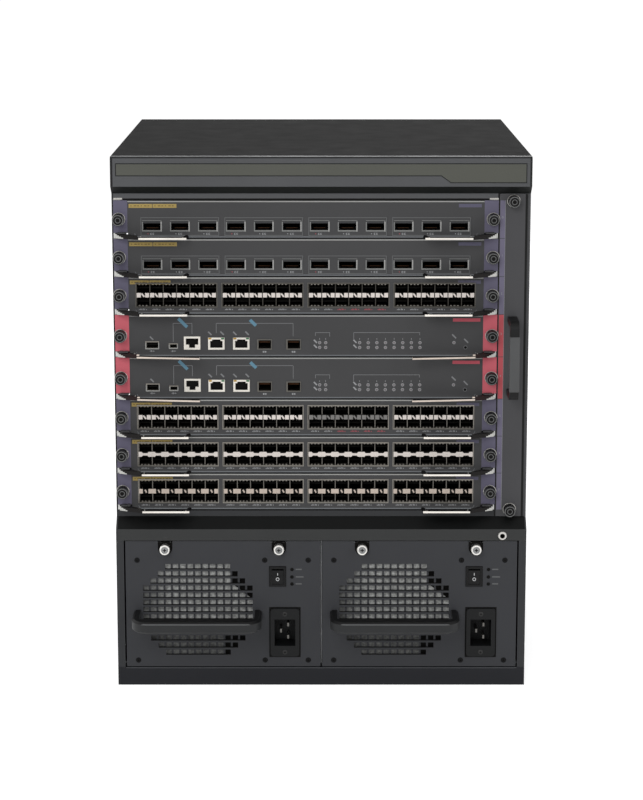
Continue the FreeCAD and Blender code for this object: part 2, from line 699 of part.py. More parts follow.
def lever(i, left):
    kind = CARD_KINDS[i]
    z = slot_floor(i) + LEVER_Z
    x = CARD_X0 + PIVOT_IN
    y = FACE_Y - PIVOT_OUT
    pts = [(x + u, y - v) for u, v in lever_outline(kind)]
    bar = prism(pts, "z", z, z + LEVER_T)
    root = prism(pts, "z", z, z + LEVER_ROOT_T)
    bar = bar.fuse(root.common(box(x - 20, x + LEVER_ROOT_L, y - 30, y + 10, z, z + LEVER_ROOT_T)))
    ear_z = slot_floor(i) + NOTCH_H + 0.3
    bar = bar.fuse(rod(x, y, z, PIN_R, ear_z + EAR_T - z, (0, 0, 1))).removeSplitter()
    return [bar if left else mirrored(bar, (CARD_X0 + CARD_X1) / 2)]


# ---- fan tray --------------------------------------------------------------------------------
FAN_Z0 = FLOOR_TOP + FAN_LIFT
TRAY_X = FAN_PX0 + 1.6
FAN_X0 = TRAY_X + INNER_SHEET + GAP


def fan_centres():
    out = []
    for c in range(FAN_COLS):
        for r in range(FAN_ROWS):
            y = FRAME + FAN_FIRST + FAN_W / 2 + c * (FAN_W + FAN_SPACE)
            z = FAN_Z0 + FAN_H / 2 + r * (FAN_H + FAN_SPACE)
            out.append((y, z))
    return out


def fan_tray_panel():
    z0 = Z_CARDS - FAN_PANEL_OVER
    z1 = Z_CARDS_TOP + HEADER_H - 0.4
    plate = box(FAN_PX0, FAN_PX1, FACE_Y, PLATE_Y, z0, z1)
    tab_x = TRAY_X + INNER_SHEET + GAP
    tab = box(tab_x, FAN_PX1 - 2, PLATE_Y, PLATE_Y + 9, FLOOR_TOP + 1, FLOOR_TOP + 1 + INNER_SHEET)
    tab2 = box(tab_x, FAN_PX1 - 2, PLATE_Y, PLATE_Y + 9, Z_CARDS_TOP, Z_CARDS_TOP + INNER_SHEET)
    plate = plate.fuse([tab, tab2]).removeSplitter()
    x = (FAN_PX0 + FAN_PX1) / 2
    return [plate, captive_screw(x, z1 - 7.5), captive_screw(x, z0 + 7.5)]


def u_handle(width, out, high, leg, bar_t, radius):
    """Grip bar on two legs in one piece: width along X, legs towards +Y, from y = 0."""
    outer = box(-width / 2, width / 2, -out, out, -high / 2, high / 2)
    inner = box(-width / 2 + leg, width / 2 - leg, -out + bar_t, out, -high, high)

    def corners(solid, r):
        y = min(v.Point.y for v in solid.Vertexes)
        edges = []
        for e in solid.Edges:
            a = e.Vertexes[0].Point
            b = e.Vertexes[1].Point
            if abs(a.y - y) < 1e-6 and abs(b.y - y) < 1e-6 and abs(a.x - b.x) < 1e-6:
                edges.append(e)
        return solid.makeFillet(r, edges)

    bar = corners(outer, radius).cut(corners(inner, max(radius - max(leg, bar_t), 3.0)))
    bar = bar.cut(box(-width, width, 0, out + 1, -high, high))
    return bar


def fan_tray_handle():
    bar = u_handle(TRAY_HANDLE_H, TRAY_HANDLE_OUT, TRAY_HANDLE_W, TRAY_HANDLE_T, TRAY_HANDLE_T, 9.0)
    bar.rotate(V(0, 0, 0), V(0, 1, 0), 90)
    bar.translate(V((FAN_PX0 + FAN_PX1) / 2, FACE_Y, Z_CARDS + TRAY_HANDLE_Z))
    return [bar]


def fan_frames():
    solids = []
    y_end = FRAME + FAN_FIRST + FAN_COLS * (FAN_W + FAN_SPACE)
    z_end = FAN_Z0 + FAN_ROWS * (FAN_H + FAN_SPACE)
    tray = box(TRAY_X, TRAY_X + INNER_SHEET, PLATE_Y + GAP, y_end, FLOOR_TOP + SLIDE, z_end)
    tools = []
    for y, z in fan_centres():
        r = FAN_HOLE_R - 6
        tools.append(box(TRAY_X - 1, TRAY_X + 3, y - r, y + r, z - r, z + r))
        frame = box(FAN_X0, FAN_X0 + FAN_T, y - FAN_W / 2, y + FAN_W / 2, z - FAN_H / 2, z + FAN_H / 2)
        frame = frame.cut(rod(FAN_X0 - 1, y, z, FAN_HOLE_R, FAN_T + 2, (1, 0, 0)))
        strut = box(FAN_X0, FAN_X0 + 2, y - 4, y + 4, z - FAN_HOLE_R - 1, z + FAN_HOLE_R + 1)
        half = FAN_HUB_R - 8
        seat = box(FAN_X0, FAN_X0 + 2, y - half, y + half, z - half, z + half)
        solids.append(frame.fuse([strut, seat]).removeSplitter())
    return solids + [tray.cut(tools)]


def rotor(blades, hub_r, hub_t, tip_r, chord, pitch, thick):
    """Hub on the Z axis, z from 0, with cambered blades set at one pitch."""
    solid = rod(0, 0, 0, hub_r, hub_t, (0, 0, 1))
    camber = 0.12 * chord
    line = [(-chord / 2, 0), (0, camber), (chord / 2, 0)]
    outline = [(a, b + thick / 2) for a, b in line] + [(a, b - thick / 2) for a, b in reversed(line)]
    c = math.cos(math.radians(pitch))
    s = math.sin(math.radians(pitch))
    turned = [(a * c - b * s, hub_t / 2 + a * s + b * c) for a, b in outline]
    blade = prism(turned, "y", hub_r * 0.55, tip_r)
    for k in range(blades):
        b = blade.copy()
        b.rotate(V(0, 0, 0), V(0, 0, 1), 360.0 * k / blades)
        solid = solid.fuse(b)
    return solid.removeSplitter()


def fan_rotor(y, z):
    r = FAN_HOLE_R - FAN_TIP
    tip = r * math.cos(math.radians(20))
    solid = rotor(FAN_BLADES, FAN_HUB_R, FAN_HUB_T, tip, FAN_CHORD, FAN_PITCH, BLADE_SKIN)
    solid.rotate(V(0, 0, 0), V(0, 1, 0), 90)
    solid.translate(V(FAN_X0 + 2 + GAP, y, z))
    return [solid]


# ---- power supplies -----------------------------------------------------------------------------
PSU_Z0 = BASE_H + 1.1
PSU_PANEL_Y = FRONT + 2.5          # rear face of the supply panel
PSU_FACE_Y = PSU_PANEL_Y - PLATE_T


def psu_x(n):
    return X0 + PSU_EDGE + n * PSU_PITCH


def psu_case(n):
    x = psu_x(n)
    x0 = x + PSU_CASE_IN
    x1 = x + PSU_W - PSU_CASE_IN
    z0 = PSU_Z0 + PSU_CASE_IN
    z1 = PSU_Z0 + PSU_H - PSU_CASE_IN
    y0 = PSU_PANEL_Y + GAP
    y1 = y0 + PSU_DEPTH
    t = PSU_SHEET
    shell = box(x0, x1, y0, y1, z0, z1).cut(box(x0 + t, x1 - t, y0 - 1, y1 - t, z0 + t, z1 - t))
    gx = x + GRILLE_X
    gz = PSU_Z0 + GRILLE_Z
    half = PSU_FAN_R + 5
    fy = y0 + 6
    frame = box(gx - half, gx + half, fy, fy + PSU_FAN_T + 3, gz - half, gz + half)
    frame = frame.cut(rod(gx, fy - 1, gz, PSU_FAN_R + 1.5, PSU_FAN_T + 6, (0, 1, 0)))
    back = fy + PSU_FAN_T
    arm = PSU_FAN_R + 3
    seat = box(gx - arm, gx + arm, back + 1, back + 3, gz - 3.5, gz + 3.5)
    hub = PSU_FAN_HUB_R - 5
    frame = frame.fuse([seat, box(gx - hub, gx + hub, back + 1, back + 3, gz - hub, gz + hub)])
    frame = frame.removeSplitter()
    feet = box(gx - half, gx + half, fy, fy + PSU_FAN_T, z0 + t, gz - half)
    deck = box(x0 + t + GAP, x1 - t - GAP, fy + 50, y1 - 20, z0 + t + 6, z0 + t + 6 + PCB_T)
    posts = [box(x - 4, x + 4, y - 4, y + 4, z0 + t, z0 + t + 6)
             for x in (x0 + 12, x1 - 12) for y in (fy + 62, y1 - 32)]
    sink = heat_sink(x0 + 24, fy + 70, z0 + t + 6 + PCB_T)
    choke = rod(x0 + 150, fy + 130, z0 + t + 6 + PCB_T, 26, 40, (0, 0, 1))
    return [shell, frame, feet, deck, sink, choke] + posts


def grille_z(row):
    return PSU_Z0 + GRILLE_Z + ((len(GRILLE_ROWS) - 1) / 2 - row) * GRILLE_PITCH


def grille_bars(x):
    """Upright guard bars on the rear of the panel: with the rows of slots they leave square holes."""
    bars = []
    columns = max(GRILLE_ROWS)
    web = GRILLE_PITCH - GRILLE_HOLE
    for k in range(columns - 1):
        off = (k + 1 - columns / 2) * GRILLE_PITCH
        rows = [r for r, c in enumerate(GRILLE_ROWS) if abs(off) < (c - 1) / 2 * GRILLE_PITCH]
        cx = x + GRILLE_X + off
        lo = grille_z(max(rows)) - GRILLE_PITCH / 2 - web / 2
        hi = grille_z(min(rows)) + GRILLE_PITCH / 2 + web / 2
        bars.append(box(cx - web / 2, cx + web / 2, PSU_PANEL_Y, PSU_PANEL_Y + GUARD_T, lo, hi))
    return bars


def psu_front(n):
    x = psu_x(n)
    z0 = PSU_Z0
    plate = box(x, x + PSU_W, PSU_FACE_Y, PSU_PANEL_Y, z0, z0 + PSU_H)
    tools = []
    h = GRILLE_HOLE / 2
    for r, count in enumerate(GRILLE_ROWS):
        z = grille_z(r)
        half = (count - 1) / 2 * GRILLE_PITCH + h
        gx = x + GRILLE_X
        tools.append(box(gx - half, gx + half, PSU_FACE_Y - 1, PSU_PANEL_Y + 1, z - h, z + h))
    for tx in THUMB_X:
        tools.append(rod(x + tx, PSU_FACE_Y - 1, z0 + THUMB_Z, NOTCH_R, PLATE_T + 2, (0, 1, 0)))
        tools.append(box(x + tx - NOTCH_R, x + tx + NOTCH_R, PSU_FACE_Y - 1, PSU_PANEL_Y + 1,
                         z0 + THUMB_Z, z0 + PSU_H + 1))
    w = ROCKER_W / 2 + BEZEL - 1
    h = ROCKER_H / 2 + BEZEL - 1
    rx = x + ROCKER_X
    rz = z0 + ROCKER_Z
    tools.append(box(rx - w, rx + w, PSU_FACE_Y - 1, PSU_PANEL_Y + 1, rz - h, rz + h))
    ix = x + INLET_X
    iz = z0 + INLET_Z
    w = INLET_OPEN_W / 2 + 2.2
    h = INLET_OPEN_H / 2 + 2.2
    tools.append(box(ix - w, ix + w, PSU_FACE_Y - 1, PSU_PANEL_Y + 1, iz - h, iz + h))
    plate = plate.cut(tools)
    solids = [plate] + grille_bars(x)
    for tx in THUMB_X:
        cx = x + tx
        cz = z0 + THUMB_Z
        back = box(cx - NOTCH_R - 3, cx + NOTCH_R + 3, PSU_PANEL_Y, PSU_PANEL_Y + PSU_SHEET,
                   cz - NOTCH_R - 4, z0 + PSU_H - PSU_CASE_IN - PSU_SHEET - GAP)
        solids.append(back)
        solids.append(rod(cx, PSU_PANEL_Y, cz, THUMB_R, THUMB_L, (0, -1, 0)))
    outer = box(rx - ROCKER_W / 2 - BEZEL, rx + ROCKER_W / 2 + BEZEL, PSU_FACE_Y - BEZEL_PROUD, PSU_FACE_Y,
                rz - ROCKER_H / 2 - BEZEL, rz + ROCKER_H / 2 + BEZEL)
    w = ROCKER_W / 2 + BEZEL - 1 - 0.1
    h = ROCKER_H / 2 + BEZEL - 1 - 0.1
    body = outer.fuse(box(rx - w, rx + w, PSU_FACE_Y, PSU_FACE_Y + BEZEL_DEPTH, rz - h, rz + h))
    body = body.removeSplitter()
    body = body.cut(box(rx - ROCKER_W / 2, rx + ROCKER_W / 2, PSU_FACE_Y - 9, PSU_FACE_Y + BEZEL_DEPTH - 1.5,
                        rz - ROCKER_H / 2, rz + ROCKER_H / 2))
    reach = ROCKER_W / 2 + TRUNNION_L + 0.1
    bore = rod(rx - reach, PSU_FACE_Y + ROCKER_PIVOT, rz, TRUNNION_R + PIN_FIT, 2 * reach, (1, 0, 0))
    body = body.cut(bore)
    solids.append(body)
    return solids


def psu_rocker(n):
    """Rocker with two faces at a shallow angle, lying pressed at its lower end."""
    x = psu_x(n) + ROCKER_X
    y = PSU_FACE_Y + ROCKER_PIVOT
    z = PSU_Z0 + ROCKER_Z
    h = ROCKER_H / 2 - 0.8
    pts = [(-4.6, h), (-3.2, 0), (-4.6, -h), (1.5, -h + 1.2), (4.8, -2.2), (4.8, 2.2), (1.5, h - 1.2)]
    w = ROCKER_W / 2 - 0.25
    solid = prism(pts, "x", x - w, x + w)
    solid.translate(V(0, y, z))
    reach = ROCKER_W / 2 + TRUNNION_L
    solid = solid.fuse(rod(x - reach, y, z, TRUNNION_R, 2 * reach, (1, 0, 0)))
    solid.rotate(V(x, y, z), V(1, 0, 0), ROCKER_TILT)
    return [solid]


def psu_inlet(n):
    """Recessed mains inlet: rounded flange, body with the pocket, and three blades."""
    x = psu_x(n) + INLET_X
    z = PSU_Z0 + INLET_Z
    y0 = PSU_FACE_Y - INLET_PROUD
    w = INLET_W / 2
    h = INLET_H / 2
    flange = rounded(x - w, x + w, y0, PSU_FACE_Y, z - h, z + h, 4.0, "y")
    w = INLET_OPEN_W / 2 + 2.0
    h = INLET_OPEN_H / 2 + 2.0
    body = flange.fuse(box(x - w, x + w, PSU_FACE_Y, y0 + INLET_DEPTH + 1.5, z - h, z + h)).removeSplitter()
    pocket = box(x - INLET_OPEN_W / 2, x + INLET_OPEN_W / 2, y0 - 1, y0 + INLET_DEPTH,
                 z - INLET_OPEN_H / 2, z + INLET_OPEN_H / 2)
    solids = [body.cut(pocket)]
    for dx, dz in BLADE_AT:
        solids.append(box(x + dx - BLADE_T / 2, x + dx + BLADE_T / 2, y0 + 7, y0 + INLET_DEPTH,
                          z + dz - BLADE_W / 4, z + dz + BLADE_W / 4))
    return solids


def psu_handle(n):
    bar = u_handle(HANDLE_W, HANDLE_OUT, HANDLE_H, HANDLE_T, HANDLE_BAR, HANDLE_R)
    edges = []
    for e in bar.Edges:
        flat = e.BoundBox.ZLength < 1e-6
        outer = e.BoundBox.XMax > HANDLE_W / 2 - 0.1 or e.BoundBox.XMin < 0.1 - HANDLE_W / 2
        if flat and (e.BoundBox.YMin < -HANDLE_OUT + 1e-3 or outer) and e.BoundBox.YMin < -1e-3:
            edges.append(e)
    bar = bar.makeChamfer(HANDLE_EDGE, edges)
    bar.translate(V(psu_x(n) + GRILLE_X, PSU_FACE_Y, PSU_Z0 + HANDLE_Z))
    return [bar]


def psu_fan_rotor(n):
    t = PSU_FAN_T - 3
    tip = (PSU_FAN_R - 0.5) * math.cos(math.radians(14))
    solid = rotor(PSU_FAN_BLADES, PSU_FAN_HUB_R, t, tip, PSU_FAN_CHORD, PSU_FAN_PITCH, BLADE_SKIN)
    solid.rotate(V(0, 0, 0), V(1, 0, 0), 90)
    y = PSU_PANEL_Y + GAP + 6 + PSU_FAN_T + 1 - GAP
    solid.translate(V(psu_x(n) + GRILLE_X, y, PSU_Z0 + GRILLE_Z))
    return [solid]


def main():
    os.makedirs("parts", exist_ok=True)
    save("chassis_shell", chassis_shell())
    save("top_cover", top_cover())
    save("rear_panel", rear_panel())
    save("card_cage", card_cage())
    save("psu_bay", psu_bay())
    save("backplane", backplane())
    save("top_fascia", top_fascia())
    save("mid_fascia", mid_fascia())
    save("esd_jack", esd_jack())
    for i in range(len(CARD_KINDS)):
        save("card_%d_faceplate" % (i + 1), faceplate(i))
        save("card_%d_board" % (i + 1), board(i))
        save("card_%d_lever_left" % (i + 1), lever(i, True))
        save("card_%d_lever_right" % (i + 1), lever(i, False))
    save("fan_tray_panel", fan_tray_panel())
    save("fan_tray_handle", fan_tray_handle())
    save("fan_frames", fan_frames())
    for k, (y, z) in enumerate(fan_centres()):
        save("fan_rotor_%d" % (k + 1), fan_rotor(y, z))
    for n in (0, 1):
        save("psu_%d_case" % (n + 1), psu_case(n))
        save("psu_%d_front" % (n + 1), psu_front(n))
        save("psu_%d_handle" % (n + 1), psu_handle(n))
        save("psu_%d_rocker" % (n + 1), psu_rocker(n))
        save("psu_%d_inlet" % (n + 1), psu_inlet(n))
        save("psu_%d_fan_rotor" % (n + 1), psu_fan_rotor(n))


main()
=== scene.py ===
"""Finishes and small fittings of the modular chassis switch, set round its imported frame."""
import math

import bmesh
import bpy
from mathutils import Matrix, Vector


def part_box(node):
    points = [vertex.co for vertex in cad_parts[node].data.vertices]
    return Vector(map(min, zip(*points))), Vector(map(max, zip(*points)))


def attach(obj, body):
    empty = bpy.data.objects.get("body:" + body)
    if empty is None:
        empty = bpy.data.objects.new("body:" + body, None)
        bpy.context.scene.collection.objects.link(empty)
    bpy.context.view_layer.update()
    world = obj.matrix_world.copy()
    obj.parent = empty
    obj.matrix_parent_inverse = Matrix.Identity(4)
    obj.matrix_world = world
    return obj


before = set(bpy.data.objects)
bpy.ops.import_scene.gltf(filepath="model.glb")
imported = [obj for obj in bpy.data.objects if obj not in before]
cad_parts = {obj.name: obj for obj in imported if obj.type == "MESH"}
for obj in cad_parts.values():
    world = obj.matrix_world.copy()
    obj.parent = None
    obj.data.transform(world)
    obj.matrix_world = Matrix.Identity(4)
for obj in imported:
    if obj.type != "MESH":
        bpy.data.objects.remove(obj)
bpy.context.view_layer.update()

MM = 0.001
QUARTER = math.radians(90)
WHITE = (1, 1, 1, 1)
FAR = 400                  # past the set on every side, for open-ended zones
TALL = 700                 # above the set
LUG = (192, 192, 188)      # plated nose of a lever
CARD_KINDS = ["quad", "quad", "sfp", "control", "control", "sfp", "sfp", "sfp"]
SCREW_REACH = 9.6          # captive screw head to the faceplate
MOUTH = -0.6               # rims of the port mouths before a faceplate
SEAM = 0.25                # half the seam between two faceplates
NOTCH_WIDE = 15.0          # faceplate corner notch
NOTCH_TOP = 5.7
LEVER_PIVOT = 9.0
SUPPLY_REACH = 10.0        # thumbscrew head to the rear of the supply panel
SUPPLY_PANEL = 1.5
ROCKER_X, ROCKER_Z = 163.5, 101.1    # rocker middle from the corner of a supply front
QUAD_MIDDLE, QUAD_GROUP, QUAD_PITCH = 69.9, 88.1, 29.37    # first group's middle, groups, ports
SFP_LEFT, SFP_BLOCK, SFP_WIDE = 22.6, 90.9, 85.5           # first block's left end, blocks, width
SFP_BOTTOM, SFP_TALL = 8.2, 25.3                           # foot and height of a block


def srgb(r, g, b):
    """A colour given as 0 to 255, in linear light."""
    shares = (c / 255 for c in (r, g, b))
    return (*(c / 12.92 if c <= 0.04045 else ((c + 0.055) / 1.055) ** 2.4 for c in shares), 1.0)


def corners(name):
    """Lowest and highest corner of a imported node, in millimetres."""
    low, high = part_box(name)
    return low / MM, high / MM


# ---- finishes: shared effects ---------------------------------------

FLOAT, COLOUR, VECTOR = "NodeSocketFloat", "NodeSocketColor", "NodeSocketVector"
SURFACE = (("Color", COLOUR), ("Roughness", FLOAT), ("Height", FLOAT))


def feed(tree, slot, value):
    """Sets a shader input to a value, or joins it to another node's output."""
    if isinstance(value, bpy.types.NodeSocket):
        tree.links.new(value, slot)
    else:
        slot.default_value = value


def give(tree, target, **values):
    """Feeds a node's inputs by name, with _ for a space."""
    for key, value in values.items():
        feed(tree, target.inputs[key.replace("_", " ")], value)


def node(tree, kind, first=(), **settings):
    """A shader node: first fills its inputs in order, settings its properties and inputs by name."""
    made = tree.nodes.new(kind)
    for key, value in settings.items():
        if key.replace("_", " ") in made.inputs:
            give(tree, made, **{key: value})
        else:
            setattr(made, key, value)
    for slot, value in zip(made.inputs, first):
        feed(tree, slot, value)
    return made


def new_group(name, inputs, outputs=SURFACE):
    tree = bpy.data.node_groups.new(name, "ShaderNodeTree")
    for label, kind, value in inputs:
        tree.interface.new_socket(label, in_out="INPUT", socket_type=kind).default_value = value
    for label, kind in outputs:
        tree.interface.new_socket(label, in_out="OUTPUT", socket_type=kind)
    return tree, tree.nodes.new("NodeGroupInput").outputs, tree.nodes.new("NodeGroupOutput")


def in_place(tree, label="Object"):
    """Object-space position, or the object-space normal."""
    return node(tree, "ShaderNodeTexCoord").outputs[label]


def axes(tree, vector):
    return node(tree, "ShaderNodeSeparateXYZ", (vector,)).outputs


def noise(tree, where, scale, detail=2.0, rough=0.5):
    return node(tree, "ShaderNodeTexNoise", Scale=scale, Detail=detail, Roughness=rough,
                Vector=where).outputs["Fac"]


def spread(tree, value, low, high, start=0.3, end=0.7):
    """Maps a value, such as noise, from start to end onto low to high."""
    return node(tree, "ShaderNodeMapRange", From_Min=start, From_Max=end, To_Min=low, To_Max=high,
                Value=value).outputs["Result"]


def vector_math(tree, operation, *values, **settings):
    return node(tree, "ShaderNodeVectorMath", values, operation=operation, **settings)


def shade(tree, colour, factor):
    """Multiplies a colour by a value that changes over the surface."""
    return vector_math(tree, "SCALE", colour, Scale=factor).outputs["Vector"]


def math_node(tree, operation, *values):
    return node(tree, "ShaderNodeMath", values, operation=operation).outputs["Value"]


def colour_mix(tree, mask, a, b):
    return node(tree, "ShaderNodeMix", data_type="RGBA", Factor=mask, A=a, B=b).outputs["Result"]


def make_powder_coat():
    """Sprayed paint on sheet: slight cloudiness, fine orange peel and paler edges, partly rubbed wear
    and partly a painted highlight.
    """
    tree, given, made = new_group("powder_coat", [
        ("Paint", COLOUR, (0.1, 0.1, 0.1, 1)), ("Cloud", FLOAT, 0.05), ("Rubbed", FLOAT, 0.35),
        ("Dullness", FLOAT, 0.5)])
    where = in_place(tree)
    cloud = spread(tree, noise(tree, where, 7.0, 4.0, 0.6), -1.0, 1.0)
    paint = shade(tree, given["Paint"], math_node(tree, "MULTIPLY_ADD", cloud, given["Cloud"], 1.0))
    # Edges found with a bevel are made paler: partly wear, partly a painted highlight along every edge.
    rounded = node(tree, "ShaderNodeBevel", samples=4, Radius=0.0006).outputs["Normal"]
    flat = node(tree, "ShaderNodeNewGeometry").outputs["True Normal"]
    turn = vector_math(tree, "DOT_PRODUCT", rounded, flat).outputs["Value"]
    patchy = spread(tree, noise(tree, where, 60.0, 3.0), 1.2, 4.0)
    wear_glint = math_node(tree, "MULTIPLY", math_node(tree, "SUBTRACT", 1.0, turn), patchy)
    wear_glint = math_node(tree, "MULTIPLY", wear_glint, given["Rubbed"])
    wear_glint = math_node(tree, "MINIMUM", wear_glint, given["Rubbed"])
    paler = vector_math(tree, "ADD", paint, (0.16, 0.16, 0.165)).outputs["Vector"]
    dull = spread(tree, noise(tree, where, 38.0, 5.0, 0.6), -0.06, 0.06)
    give(tree, made, Color=colour_mix(tree, wear_glint, paint, paler),
         Roughness=math_node(tree, "ADD", dull, given["Dullness"]), Height=noise(tree, where, 1500.0))
    return tree


def make_rolled_metal():
    """Plated or drawn metal: streaks along one axis, with a few dull patches."""
    tree, given, made = new_group("rolled_metal", [
        ("Metal", COLOUR, (0.6, 0.6, 0.6, 1)), ("Stretch", VECTOR, (30, 900, 900)),
        ("Dullness", FLOAT, 0.3)])
    where = in_place(tree)
    drawn = vector_math(tree, "MULTIPLY", where, given["Stretch"]).outputs["Vector"]
    streak = noise(tree, drawn, 1.0, 3.0, 0.65)
    patch = noise(tree, where, 55.0, 3.0)
    tone = math_node(tree, "MULTIPLY", spread(tree, streak, 0.9, 1.08), spread(tree, patch, 0.9, 1.05))
    dull = math_node(tree, "ADD", spread(tree, streak, -0.07, 0.09), given["Dullness"])
    give(tree, made, Color=shade(tree, given["Metal"], tone), Roughness=dull, Height=streak)
    return tree


def make_moulding_grain():
    """Moulded plastic: spark-eroded grain and faint flow marks."""
    tree, given, made = new_group("moulding_grain", [
        ("Plastic", COLOUR, (0.02, 0.02, 0.02, 1)), ("Dullness", FLOAT, 0.45)])
    where = in_place(tree)
    flow = noise(tree, where, 22.0, 3.0)
    dull = math_node(tree, "ADD", spread(tree, flow, -0.06, 0.06), given["Dullness"])
    give(tree, made, Color=shade(tree, given["Plastic"], spread(tree, flow, 0.88, 1.12)), Roughness=dull,
         Height=noise(tree, where, 2600.0, 1.0))
    return tree


def make_board_tracks():
    """Circuit board: solder mask with square-cornered tracks and rows of pale parts."""
    tree, given, made = new_group("board_tracks", [
        ("Mask", COLOUR, (0.01, 0.06, 0.03, 1)), ("Track", COLOUR, (0.03, 0.12, 0.06, 1))])
    where = in_place(tree)
    bricks = node(tree, "ShaderNodeTexBrick", offset=0.35, squash=1.4, Scale=60.0, Mortar_Size=0.03,
                  Vector=where).outputs["Fac"]
    cells = node(tree, "ShaderNodeTexVoronoi", distance="CHEBYCHEV", Scale=130.0,
                 Vector=where).outputs["Distance"]
    edge = spread(tree, cells, 0.0, 1.0)
    track = math_node(tree, "MULTIPLY", edge, bricks)
    give(tree, made, Color=colour_mix(tree, track, given["Mask"], given["Track"]),
         Roughness=spread(tree, edge, 0.28, 0.5), Height=edge)
    return tree


def make_region():
    """A mask that is 1 inside a box given by two corners, in object space."""
    tree, given, made = new_group(
        "region", [("Low", VECTOR, (0, 0, 0)), ("High", VECTOR, (1, 1, 1))], [("Mask", FLOAT)])
    at = axes(tree, in_place(tree))
    mask = 1.0
    for label, operation in (("Low", "GREATER_THAN"), ("High", "LESS_THAN")):
        for here, edge in zip(at, axes(tree, given[label])):
            mask = math_node(tree, "MULTIPLY", mask, math_node(tree, operation, here, edge))
    give(tree, made, Mask=mask)
    return tree


POWDER_COAT = make_powder_coat()
ROLLED_METAL = make_rolled_metal()
MOULDING_GRAIN = make_moulding_grain()
BOARD_TRACKS = make_board_tracks()
REGION = make_region()


# ---- finishes: materials --------------------------------------------

def start_finish(name, metallic=0.0, specular=0.5):
    material = bpy.data.materials.new(name)
    material.use_nodes = True
    shader = material.node_tree.nodes["Principled BSDF"]
    give(material.node_tree, shader, Metallic=metallic, Specular_IOR_Level=specular)
    return material, material.node_tree, shader


def effect(tree, group, **values):
    return node(tree, "ShaderNodeGroup", node_tree=group, **values)


def lay(tree, shader, made, depth, colour=None):
    """Joins an effect to the shader, with its height as a shallow bump."""
    out = made.outputs
    bump = node(tree, "ShaderNodeBump", Strength=0.35, Distance=depth * MM, Height=out["Height"])
    give(tree, shader, Base_Color=colour or out["Color"], Roughness=out["Roughness"],
         Normal=bump.outputs["Normal"])


def zone_mask(tree, low, high):
    """1 inside the box between two corners, in millimetres."""
    return effect(tree, REGION, Low=Vector(low) * MM, High=Vector(high) * MM).outputs["Mask"]


def zoned(tree, colour, zones):
    """Lays a flat colour over a colour inside each (low corner, high corner, colour) box."""
    masks = []
    for low, high, paint in zones:
        masks.append(zone_mask(tree, low, high))
        colour = colour_mix(tree, masks[-1], colour, srgb(*paint))
    return colour, masks


def left_bare(tree, masks):
    """1 where none of the masks lies."""
    bare = 1.0
    for mask in masks:
        bare = math_node(tree, "MULTIPLY", bare, math_node(tree, "SUBTRACT", 1.0, mask))
    return bare


def painted(name, colour, cloud=0.05, wear_and_glint=0.3, dull=0.52, zones=(), specular=0.18):
    """Powder-coated sheet, with zones of other colours in millimetres."""
    material, tree, shader = start_finish(name, specular=specular)
    paint, _ = zoned(tree, srgb(*colour), zones)
    coat = effect(tree, POWDER_COAT, Paint=paint, Cloud=cloud, Rubbed=wear_and_glint, Dullness=dull)
    lay(tree, shader, coat, 0.05)
    return material


def film(name, colour, wear_and_glint=0.1):
    """Printed film or ink on a panel."""
    return painted(name, colour, cloud=0.03, wear_and_glint=wear_and_glint)


def metal(name, colour, dull=0.3, stretch=(30, 900, 900)):
    material, tree, shader = start_finish(name, metallic=1.0)
    sheet = effect(tree, ROLLED_METAL, Metal=srgb(*colour), Stretch=stretch, Dullness=dull)
    lay(tree, shader, sheet, 0.02)
    return material


def plastic(name, colour, dull=0.45, specular=0.4):
    material, tree, shader = start_finish(name, specular=specular)
    lay(tree, shader, effect(tree, MOULDING_GRAIN, Plastic=srgb(*colour), Dullness=dull), 0.04)
    return material


def plated(name, colour, dull, stretch, zones):
    """Plated sheet with painted zones, in millimetres."""
    material, tree, shader = start_finish(name, specular=0.18)
    sheet = effect(tree, ROLLED_METAL, Metal=srgb(*colour), Stretch=stretch, Dullness=dull)
    colour, masks = zoned(tree, sheet.outputs["Color"], zones)
    lay(tree, shader, sheet, 0.02, colour)
    give(tree, shader, Metallic=left_bare(tree, masks))
    return material


def card_metal_and_board(name, board_low, board_high, colour, front=None):
    """Port cages of plated metal on a green board between two heights, with a painted bezel if asked."""
    material, tree, shader = start_finish(name, specular=0.18)
    cage = effect(tree, ROLLED_METAL, Metal=srgb(*colour), Dullness=0.36)
    board = effect(tree, BOARD_TRACKS, Mask=srgb(20, 64, 44), Track=srgb(44, 98, 66))
    layer = zone_mask(tree, (-FAR, -197.9, board_low), (FAR, FAR, board_high))
    colour = colour_mix(tree, layer, cage.outputs["Color"], board.outputs["Color"])
    bezel = [((-FAR, -FAR, -10), (FAR, -198.1, TALL), front)] if front else []
    colour, masks = zoned(tree, colour, bezel)
    lay(tree, shader, cage, 0.02, colour)
    give(tree, shader, Metallic=left_bare(tree, [layer] + masks))
    return material


def lever_finish(name, colour, root, pivot, side, start, end, floor):
    """Stamped lever: bright metal on the faces turned to the front between two reaches; its other faces
    dark, which on the top of the bar is painted shade; a dark root and a pale stepped nose.
    """
    material, tree, shader = start_finish(name, specular=0.15)
    bar = effect(tree, ROLLED_METAL, Metal=srgb(*colour), Dullness=0.3)
    low, high = sorted((pivot - side * start, pivot - side * end))
    edge = zone_mask(tree, (low, -FAR, -10), (high, FAR, TALL))
    # Faces not turned to the front are painted dark: painted shade on the top of the bar.
    forward = math_node(tree, "LESS_THAN", axes(tree, in_place(tree, "Normal"))["Y"], -0.3)
    bright = math_node(tree, "MULTIPLY", forward, edge)
    zones = []
    steps = ((start, 40, root), (-4.9, 40, LUG), (-2.6, 4.2, LUG), (-0.4, 3.2, LUG), (2.0, 2.2, LUG))
    for reach, top, paint in steps:
        x0, x1 = sorted((side * FAR, pivot - side * reach))
        zones.append(((x0, -FAR, floor - 5), (x1, FAR, floor + top), paint))
    shade_root_and_nose, _ = zoned(tree, srgb(10, 9, 9), zones)
    lay(tree, shader, bar, 0.02, colour_mix(tree, bright, shade_root_and_nose, bar.outputs["Color"]))
    give(tree, shader, Metallic=bright)
    return material


